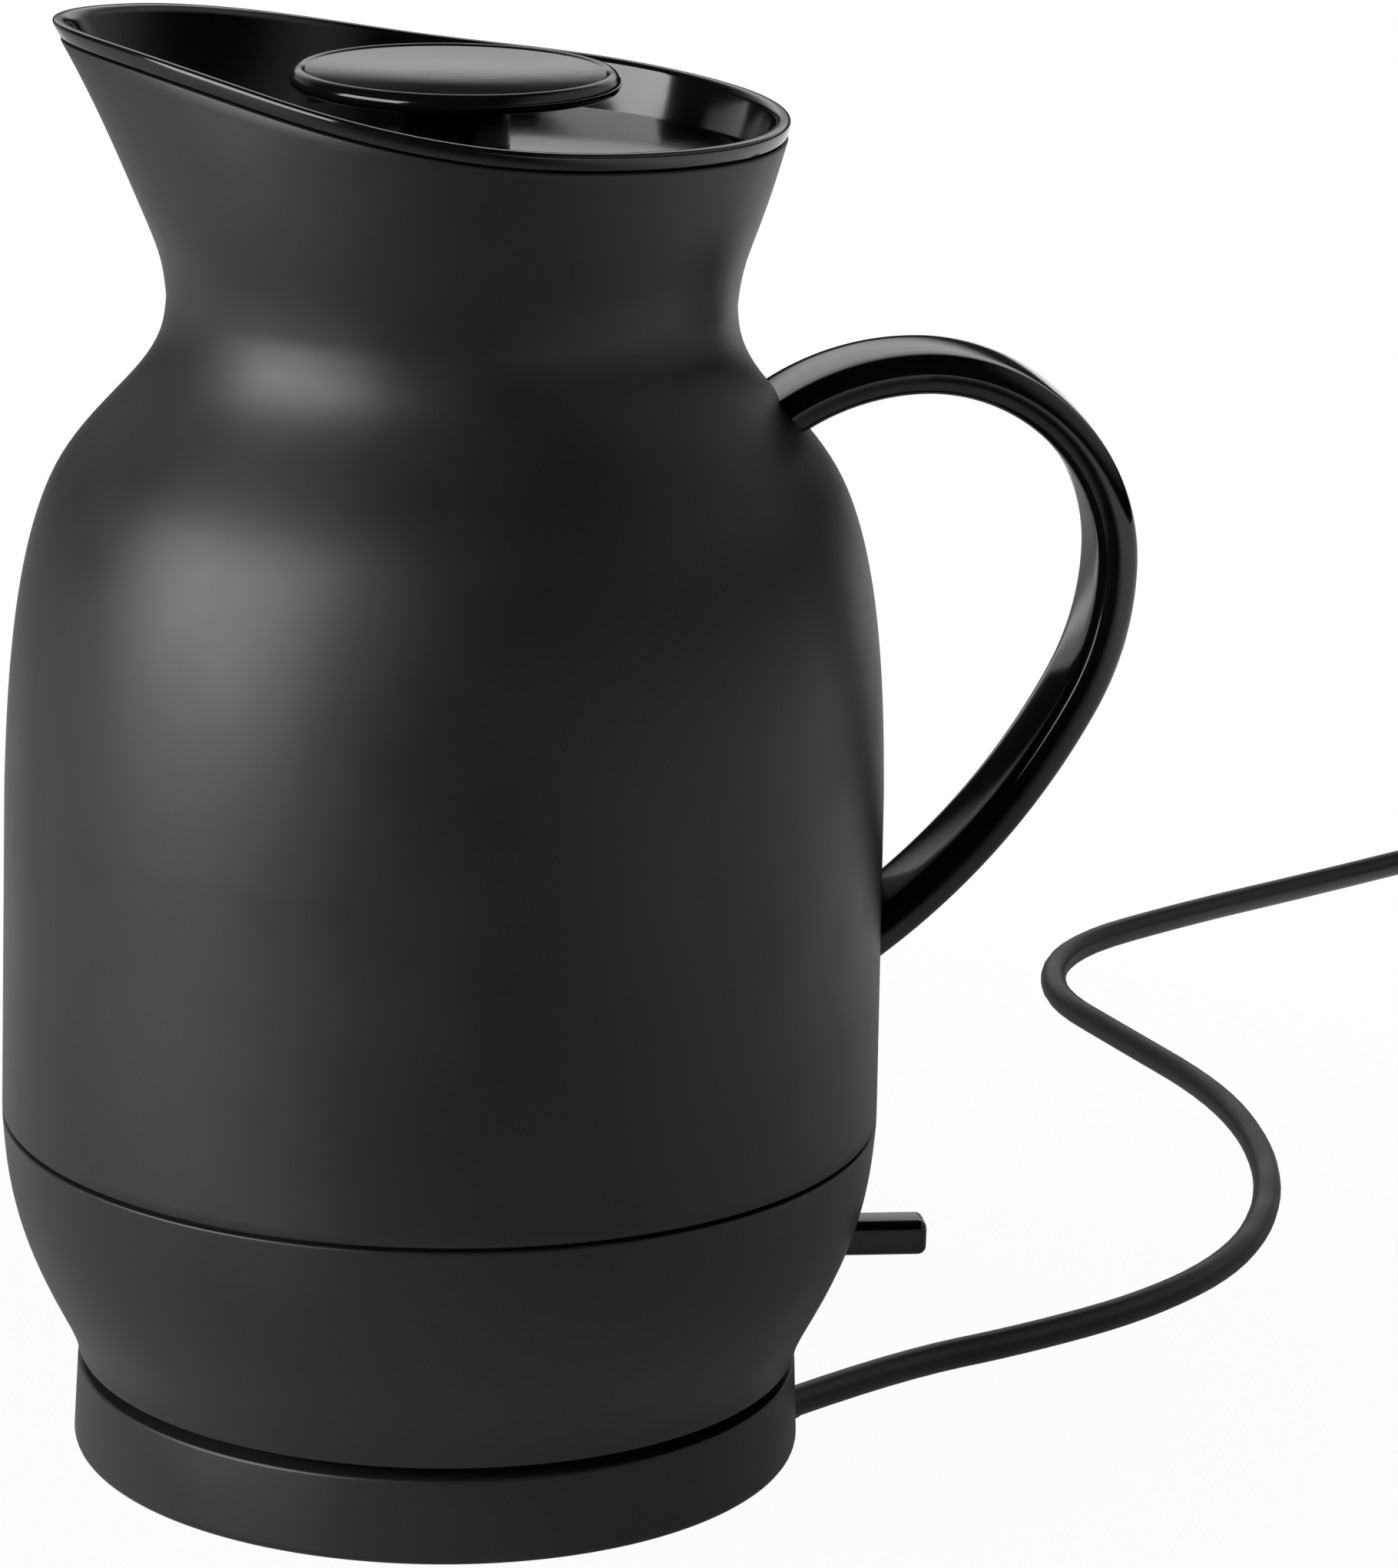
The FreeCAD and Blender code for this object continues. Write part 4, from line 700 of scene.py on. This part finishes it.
@dataclass
class PowerCord:
    """Mains lead from the base with its put-away coil, up to the plug. Sizes in millimetres."""

    radius: float = 2.7
    base_radius: float = 62.5
    exit_y: float = 1.0
    exit_z: float = 3.6
    exit_deg: float = 40.5
    relief_outside: float = 0.2
    coil_centre: Pair = (298.0, 321.0)
    coil_entry_deg: float = 120.0
    coil_radius: float = 30.0
    coil_spread: float = 8.0
    coil_layer: float = 6.0
    layer_turns: float = 0.875
    climb_turns: float = 0.5
    coil_tail: float = 23.0
    coil_z: float = 4.0
    turn_points: int = 24
    smoothness: int = 6
    curve_order: int = 3
    length: float = 0.904
    route: Tuple[Point, ...] = (
        (84.2, 19.5, 3.05), (110, 32.5, 2.7), (136, 49, 2.7), (157, 72, 2.7), (170, 103, 2.7),
        (175, 137, 2.7), (172.5, 171, 2.7), (160, 207, 2.7), (149.5, 238, 2.7), (159, 270, 2.7),
        (190, 294, 2.7), (224, 316, 2.7), (254, 333, 4.0))

    def exit_point(self) -> Point:
        """Where the lead leaves its strain relief."""
        turn = math.radians(self.exit_deg)
        x = math.sqrt(self.base_radius ** 2 - self.exit_y ** 2) + self.relief_outside * math.cos(turn)
        return (x, self.exit_y + self.relief_outside * math.sin(turn), self.exit_z)

    def coil_point(self, turn: float) -> Point:
        """Middle of the lead in the coil after a number of turns, in on the floor and out on top."""
        climb_end = self.layer_turns + self.climb_turns
        outer = self.coil_radius + self.coil_spread / 2
        if turn <= self.layer_turns:
            radius = outer - self.coil_spread * turn / self.layer_turns
            level = 0.0
        elif turn <= climb_end:
            radius = outer - self.coil_spread
            share = (turn - self.layer_turns) / self.climb_turns
            level = share * share * (3 - 2 * share)
        else:
            radius = outer - self.coil_spread + self.coil_spread * (turn - climb_end) / self.layer_turns
            level = 1.0
        bearing = math.radians(self.coil_entry_deg - 360 * turn)
        x, y = self.coil_centre
        return (x + radius * math.cos(bearing), y + radius * math.sin(bearing),
                self.coil_z + self.coil_layer * level)

    def points(self) -> List[Point]:
        """Route of the whole lead, from the exit to the plug."""
        turns = 2 * self.layer_turns + self.climb_turns
        count = round(turns * self.turn_points)
        coil = [self.coil_point(turns * i / count) for i in range(count + 1)]
        ahead = (Vector(coil[-1]) - Vector(coil[-2])).normalized()
        ahead.z = 0.0
        end = Vector(coil[-1]) + ahead * self.coil_tail
        return [self.exit_point(), *self.route, *coil, tuple(end)]

    def build(self) -> None:
        """Lay the lead and dress it."""
        curve = bpy.data.curves.new("mains_lead", "CURVE")
        curve.dimensions = "3D"
        curve.bevel_depth = self.radius * MM
        curve.bevel_resolution = self.smoothness
        curve.resolution_u = self.smoothness
        curve.use_fill_caps = True
        points = self.points()
        spline = curve.splines.new("NURBS")
        spline.points.add(len(points) - 1)
        for spot, (x, y, z) in zip(spline.points, points):
            spot.co = (x * MM, y * MM, z * MM, 1.0)
        spline.order_u = self.curve_order
        spline.use_endpoint_u = True
        lead = bpy.data.objects.new("mains_lead", curve)
        bpy.context.scene.collection.objects.link(lead)
        dress(lead, Body.POWER_BASE, Slot.CORD_SHEATH, ("cord", "cord_coil"))


@dataclass
class JugWall:
    """Painted steel wall of the jug, bare steel inside. Sizes in millimetres."""

    wall: float = 1.6
    bottom_z: float = 60.85
    rim_drop: float = 3.15
    edge: float = 0.35
    edge_bend: float = 0.3
    rows: Tuple[int, int] = (96, 14)
    sharp_deg: float = 60.0

    def surface(self, inset: float) -> List[Ring]:
        """Rings of one face of the wall from the seam to just under the rim."""
        return JUG.face(inset, self.bottom_z + self.edge, self.rows, self.rim_drop, self.edge)

    def foot_ring(self, inset: float, rise: float) -> Ring:
        """Ring along the seam at an inset."""
        return [JUG.point(a, self.bottom_z + rise, inset) for a in bearings(JUG.turn_points)]

    def build(self) -> None:
        """Build and dress the wall."""
        bend = self.edge_bend * self.edge
        rounding = ((bend, bend), (self.edge, 0.0), (self.wall - self.edge, 0.0), (self.wall - bend, bend))
        outside = self.surface(0.0)
        inside = list(reversed(self.surface(self.wall)))
        rim = [JUG.rim_ring(inset, self.rim_drop + drop) for inset, drop in rounding]
        foot = [self.foot_ring(inset, rise) for inset, rise in reversed(rounding)]
        first_inside = len(outside) + len(rim)
        last_inside = first_inside + len(inside)
        rings = outside + rim + inside + foot
        wall = MeshMaker.skin("jug_wall", rings, closed=True, sharp_deg=self.sharp_deg,
                              faces_of=lambda j: 1 if first_inside <= j < last_inside else 0)
        dress(wall, Body.KETTLE, Slot.JUG_PAINT, ("upper_shell",), (SOFT_PAINT, STEEL))


@dataclass
class PourFunnel:
    """Glossy insert of the neck and spout with its lip over the wall's edge. Sizes in millimetres."""

    outer_inset: float = 1.75
    inner_inset: float = 2.95
    lip_inset: float = 0.3
    lip_height: float = 2.8
    bottom_z: float = 194.0
    rounding: float = 0.9
    rounding_steps: int = 6
    inner_drop: float = 0.3
    lip_edge: Tuple[Pair, ...] = ((0.25, 0.0), (0.07, 0.07), (0.0, 0.25))
    rows: Tuple[int, int] = (24, 16)
    sharp_deg: float = 50.0

    def surface(self, inset: float, drop: float) -> List[Ring]:
        """Rings of one face of the funnel up to the rim line lowered by a drop."""
        return JUG.face(inset, self.bottom_z, self.rows, drop)

    def lip(self) -> List[Ring]:
        """Rings round the lip, from its lower edge outside over the top to the inside."""
        rings = [JUG.rim_ring(self.lip_inset + inset, self.lip_height - rise)
                 for inset, rise in self.lip_edge]
        turns = [math.pi / 2 * k / self.rounding_steps for k in range(self.rounding_steps + 1)]
        for turn in turns:
            rings.append(JUG.rim_ring(self.lip_inset + self.rounding * (1 - math.cos(turn)),
                                      self.rounding * (1 - math.sin(turn))))
        for turn in turns:
            rings.append(JUG.rim_ring(self.inner_inset - self.rounding * (1 - math.sin(turn)),
                                      self.rounding * (1 - math.cos(turn))))
        return rings

    def build(self) -> None:
        """Build and dress the funnel."""
        outside = self.surface(self.outer_inset, self.lip_height)
        inside = list(reversed(self.surface(self.inner_inset, self.rounding + self.inner_drop)))
        rings = outside + self.lip() + inside
        funnel = MeshMaker.skin("pour_insert", rings, closed=True, sharp_deg=self.sharp_deg)
        dress(funnel, Body.KETTLE, Slot.GLOSS_BLACK, ("pour_funnel",))


@dataclass
class LowerHousing:
    """Lower skirt of the kettle with the lever's slot. Sizes in millimetres."""

    foot_radius: float = 62.1
    foot_z: float = 17.8
    top_z: float = 60.15
    wall: float = 2.4
    spigot_radius: float = 73.1
    spigot_wall: float = 1.7
    spigot_top_z: float = 65.65
    spigot_root_z: float = 57.65
    slot_low: Point = (56.0, -4.1, 28.27)
    slot_high: Point = (76.0, 4.1, 38.9)
    slot_rounding: float = 0.8
    edge: float = 0.4
    top_edge: Tuple[Pair, ...] = ((0.03, 0.25), (0.12, 0.12), (0.25, 0.03), (0.4, 0.0))
    foot_edge: Tuple[Pair, ...] = ((0.5, 0.0), (0.1, 0.1))
    rows: int = 40
    shape: SmoothCurve = field(default_factory=lambda: SmoothCurve((
        (0.0, 0.0), (0.06, 0.05), (0.12, 0.128), (0.24, 0.326), (0.52, 0.725), (0.8, 0.94), (1.0, 1.0))))

    def radius(self, share: float) -> float:
        """Outer radius at a share of the height."""
        return self.foot_radius + (JUG.belly_radius - self.foot_radius) * self.shape(share)

    def outline(self) -> Outline:
        """Closed outline of the skirt, up the outside and down the inside."""
        rise = self.top_z - self.foot_z
        drop = self.foot_z - self.spigot_root_z
        shares = [i / self.rows for i in range(self.rows + 1)]
        heights = [self.edge + (rise - 2 * self.edge) * share for share in shares]
        outside = [(self.radius(height / rise), self.foot_z + height) for height in heights]
        depths = [self.spigot_root_z + drop * share for share in shares]
        inside = [(self.radius((z - self.foot_z) / rise) - self.wall, z) for z in depths]
        top = [(JUG.belly_radius - inset, self.top_z - fall) for inset, fall in self.top_edge]
        foot = [(self.foot_radius - inset, self.foot_z + lift) for inset, lift in self.foot_edge]
        hollow = self.spigot_radius - self.spigot_wall
        spigot = [(self.spigot_radius, self.top_z), (self.spigot_radius, self.spigot_top_z),
                  (hollow, self.spigot_top_z), (hollow, self.spigot_root_z)]
        return outside + top + spigot + inside + foot

    def build(self) -> None:
        """Build and dress the skirt."""
        skirt = MeshMaker.turned("lower_skirt", self.outline(), JUG.turn_points)
        slot = MeshMaker.block("lever_slot", self.slot_low, self.slot_high, self.slot_rounding)
        MeshMaker.carve(skirt, slot)
        dress(skirt, Body.KETTLE, Slot.MATTE_HOUSING, ("lower_housing",))


@dataclass
class Handle:
    """Ear-shaped grip between the shoulder and the belly. Sizes in millimetres, turns in degrees."""

    crest: Pair = (79.5, 156.8)
    crest_r: float = 33.2
    root_r: float = 42.0
    root_turn: float = 46.0
    grip_r: float = 52.0
    grip_turn: float = 27.0
    tail_r: float = 125.0
    tail_turn: float = 27.0
    width_root: float = 23.0
    width_crest: float = 20.0
    width_tail: float = 20.5
    thick: float = 7.3
    sink: float = 0.5
    root_search: float = 12.0
    tail_search: float = 8.0
    halvings: int = 40
    side_power: float = 0.8
    turn_share: float = 0.35
    sharp_deg: float = 50.0
    rows: int = 150
    around: int = 56

    def total(self) -> float:
        """Whole turn of the grip from its root to its tail."""
        return self.root_turn + 90 + self.grip_turn + self.tail_turn

    def station(self, turn: float) -> Tuple[Vector, Vector, float]:
        """Middle, outward direction and width after a turn from the root."""
        angle = math.radians(90 + self.root_turn - turn)
        out = Vector((math.cos(angle), 0.0, math.sin(angle)))
        crest = Vector((self.crest[0], 0.0, self.crest[1]))
        root = crest + Vector((0, 0, self.crest_r - self.root_r))
        grip = crest - Vector((self.grip_r - self.crest_r, 0, 0))
        bend = math.radians(-self.grip_turn)
        tail = grip - Vector((math.cos(bend), 0, math.sin(bend))) * (self.tail_r - self.grip_r)
        past = turn - self.root_turn
        if past <= 0:
            width = self.width_root + (self.width_crest - self.width_root) * turn / self.root_turn
            return root + out * self.root_r, out, width
        share = past / (self.total() - self.root_turn)
        width = self.width_crest + (self.width_tail - self.width_crest) * share
        if past <= 90:
            return crest + out * self.crest_r, out, width
        if past <= 90 + self.grip_turn:
            return grip + out * self.grip_r, out, width
        return tail + out * self.tail_r, out, width

    def section(self, width: float) -> Outline:
        """Rounded section as (sideways, outward) offsets."""
        half = self.thick / 2
        flat = width / 2 - half
        offsets = []
        for i in range(self.around):
            angle = 2 * math.pi * i / self.around
            c, s = math.cos(angle), math.sin(angle)
            side = math.copysign(abs(c) ** self.side_power, c)
            spread = math.copysign(flat, c) * min(1.0, abs(c) / self.turn_share)
            offsets.append((side * half + spread, s * half))
        return offsets

    def line_point(self, index: int, turn: float) -> Vector:
        """Point of one lengthwise line of the grip."""
        centre, out, width = self.station(turn)
        side, up = self.section(width)[index]
        return centre + Vector((0, side, 0)) + out * up

    def depth(self, place: Vector) -> float:
        """How far a point stands out of the jug's wall."""
        return math.hypot(place.x, place.y) - JUG.round_radius(place.z) + self.sink

    def meeting(self, index: int, outside: float, inside: float) -> float:
        """Turn at which one lengthwise line meets the jug's wall."""
        for _ in range(self.halvings):
            middle = (outside + inside) / 2
            if self.depth(self.line_point(index, middle)) > 0:
                outside = middle
            else:
                inside = middle
        return outside

    def build(self) -> None:
        """Build and dress the grip."""
        total = self.total()
        lines = range(self.around)
        starts = [self.meeting(i, self.root_turn, -self.root_search) for i in lines]
        ends = [self.meeting(i, self.root_turn + 90, total + self.tail_search) for i in lines]
        rings: List[Ring] = []
        for j in range(self.rows + 1):
            share = j / self.rows
            turns = [starts[i] + (ends[i] - starts[i]) * share for i in lines]
            rings.append([tuple(self.line_point(i, turns[i])) for i in lines])
        grip = MeshMaker.skin("ear_handle", rings, caps=True, sharp_deg=self.sharp_deg)
        dress(grip, Body.KETTLE, Slot.GLOSS_BLACK, ("handle",))


@dataclass
class Lid:
    """Lift-out lid: domed plate, stem and knob. Sizes in millimetres."""

    edge_z: float = 226.4
    plate: float = 2.9
    radius: float = 48.4
    dome: float = 1.2
    dome_half_share: float = 0.75
    dome_steps: int = 32
    plate_edge: Tuple[Pair, ...] = ((0.35, 0.02), (0.08, 0.25), (0.0, 0.7))
    plate_taper: float = 0.6
    notch_x: float = 37.0
    notch_half: float = 22.0
    notch_spare: float = 2.0
    notch_over: float = 3.0
    stem_radius: float = 9.2
    stem_foot: float = 0.9
    stem_rounding: float = 0.3
    stem_points: int = 96
    knob_radius: float = 27.4
    knob_z: float = 236.8
    knob_height: float = 3.0
    knob_edge: float = 1.2
    knob_bead: float = 1.4
    knob_dish: float = 1.2
    knob_undercut: float = 1.0
    crease_drop: float = 0.3
    brow_inset: float = 0.4
    brow_drop: float = 0.8
    dish_half_share: float = 0.76
    bead_top_share: float = 0.35
    knob_sharp_deg: float = 20.0
    knob_steps: Tuple[int, int, int] = (24, 10, 16)
    turn_points: int = 180

    def build_plate(self) -> None:
        """Build the plate, open on the spout's side."""
        crown = (0.0, self.edge_z + self.dome)
        half_way = (self.radius / 2, self.edge_z + self.dome * self.dome_half_share)
        top = arc_through(crown, half_way, (self.radius, self.edge_z), self.dome_steps)
        low = self.edge_z - self.plate
        edge = [(self.radius - inset, self.edge_z - drop) for inset, drop in self.plate_edge]
        outline = top[:-1] + edge + [(self.radius - self.plate_taper, low), (0.0, low)]
        plate = MeshMaker.turned("lid_disc", outline, self.turn_points)
        near = (-self.radius - self.notch_spare, -self.notch_half, low - self.notch_spare)
        far = (-self.notch_x, self.notch_half, self.edge_z + self.notch_over)
        notch = MeshMaker.block("pour_notch", near, far, 0.0)
        MeshMaker.carve(plate, notch)
        dress(plate, Body.LID, Slot.GLOSS_BLACK, ("lid_plate",))

    def build_stem(self) -> None:
        """Build the post between plate and knob."""
        low = self.edge_z + self.dome * self.stem_foot
        corners = ((0.0, low, 0), (self.stem_radius, low, self.stem_rounding),
                   (self.stem_radius, self.knob_z, 0.0), (0.0, self.knob_z, 0))
        stem = MeshMaker.turned("knob_post", corner_outline(corners), self.stem_points)
        dress(stem, Body.LID, Slot.GLOSS_BLACK, ("lid_stem",))

    def build_knob(self) -> None:
        """Build the knob with its dished top."""
        top = self.knob_z + self.knob_height
        rim = self.knob_radius - self.knob_edge
        crease = (rim - self.knob_bead, top - self.crease_drop)
        brow = (self.knob_radius - self.brow_inset, top - self.brow_drop)
        deep = self.knob_dish - self.crease_drop
        half_way = (crease[0] / 2, crease[1] - deep * self.dish_half_share)
        bead_top = (rim - self.knob_bead * self.bead_top_share, top)
        widest = (self.knob_radius, self.knob_z + self.knob_height / 2)
        dish_steps, bead_steps, edge_steps = self.knob_steps
        dish = arc_through((0.0, crease[1] - deep), half_way, crease, dish_steps)
        bead = arc_through(crease, bead_top, brow, bead_steps)
        edge = arc_through(brow, widest, (rim - self.knob_undercut, self.knob_z), edge_steps)
        outline = dish[:-1] + bead[:-1] + edge + [(0.0, self.knob_z)]
        knob = MeshMaker.turned("lid_grip", outline, self.turn_points, self.knob_sharp_deg)
        dress(knob, Body.LID, Slot.GLOSS_BLACK, ("lid_knob",))

    def build(self) -> None:
        """Build the lid."""
        self.build_plate()
        self.build_stem()
        self.build_knob()


@dataclass
class SwitchLever:
    """Rocker bar under the handle. Sizes in millimetres."""

    inner_x: float = 45.5
    tip_x: float = 85.1
    width: float = 7.0
    thick: float = 6.2
    middle_z: float = 35.2
    rounding: float = 1.5
    rounding_steps: int = 6

    def build(self) -> None:
        """Build and dress the bar."""
        low = (self.inner_x, -self.width / 2, self.middle_z - self.thick / 2)
        high = (self.tip_x, self.width / 2, self.middle_z + self.thick / 2)
        bar = MeshMaker.block("switch_bar", low, high, self.rounding, self.rounding_steps)
        dress(bar, Body.LEVER, Slot.GLOSS_BLACK, ("switch_lever",))


@dataclass
class PowerBase:
    """Round housing of the power base. Sizes in millimetres."""

    radius: float = 62.5
    top_z: float = 15.7
    edge_z: float = 0.8
    wall: float = 2.5
    draft: float = 0.35
    top_rounding: float = 0.6
    edge_rounding: float = 1.6
    socket_hole: float = 18.15
    hole_rounding: float = 0.4
    inner_rounding: float = 0.2
    rounding_steps: int = 8
    turn_points: int = 216

    def build(self) -> None:
        """Build and dress the housing."""
        inner = self.radius - self.wall
        deck = self.top_z - self.wall
        corners = ((self.socket_hole, deck, 0), (self.socket_hole, self.top_z, self.hole_rounding),
                   (self.radius - self.draft, self.top_z, self.top_rounding),
                   (self.radius + self.draft, self.edge_z, self.edge_rounding),
                   (inner, self.edge_z, self.inner_rounding), (inner, deck, self.hole_rounding))
        outline = corner_outline(corners, self.rounding_steps)
        shell = MeshMaker.turned("base_housing", outline, self.turn_points)
        dress(shell, Body.POWER_BASE, Slot.MATTE_HOUSING, ("base_shell",))


class CarriedNodes:
    """CAD nodes that stay as they are and get a finish."""

    special: Dict[str, Finish] = {"cord_tie": WEBBING}

    def build(self, replaced: Sequence[str]) -> None:
        """Dress each node that no new piece stands for.

        Args:
            replaced: Nodes that new pieces stand for.
        """
        slots = {row["node"]: Slot(row["material_slot"]) for row in frame["record"]["subparts"]}
        for name, node in sorted(frame["nodes"].items()):
            if name in replaced:
                continue
            finish = self.special.get(name, SLOT_FINISH[slots[name]])
            node.data.materials.clear()
            node.data.materials.append(finish.build())
            for polygon in node.data.polygons:
                polygon.use_smooth = True
                polygon.material_index = 0
            LOG.info("%s keeps its CAD shape with %s", name, finish.name)


REPLACED = ("cord", "cord_coil", "upper_shell", "pour_funnel", "lower_housing", "handle", "lid_plate",
            "lid_stem", "lid_knob", "switch_lever", "base_shell")


def main() -> None:
    """Build the studio and every piece."""
    logging.basicConfig(level=logging.INFO, format="%(name)s: %(message)s")
    Studio().build()
    PowerCord().build()
    PowerBase().build()
    LowerHousing().build()
    JugWall().build()
    PourFunnel().build()
    Handle().build()
    Lid().build()
    SwitchLever().build()
    CarriedNodes().build(REPLACED)


if __name__ == "__main__":
    main()
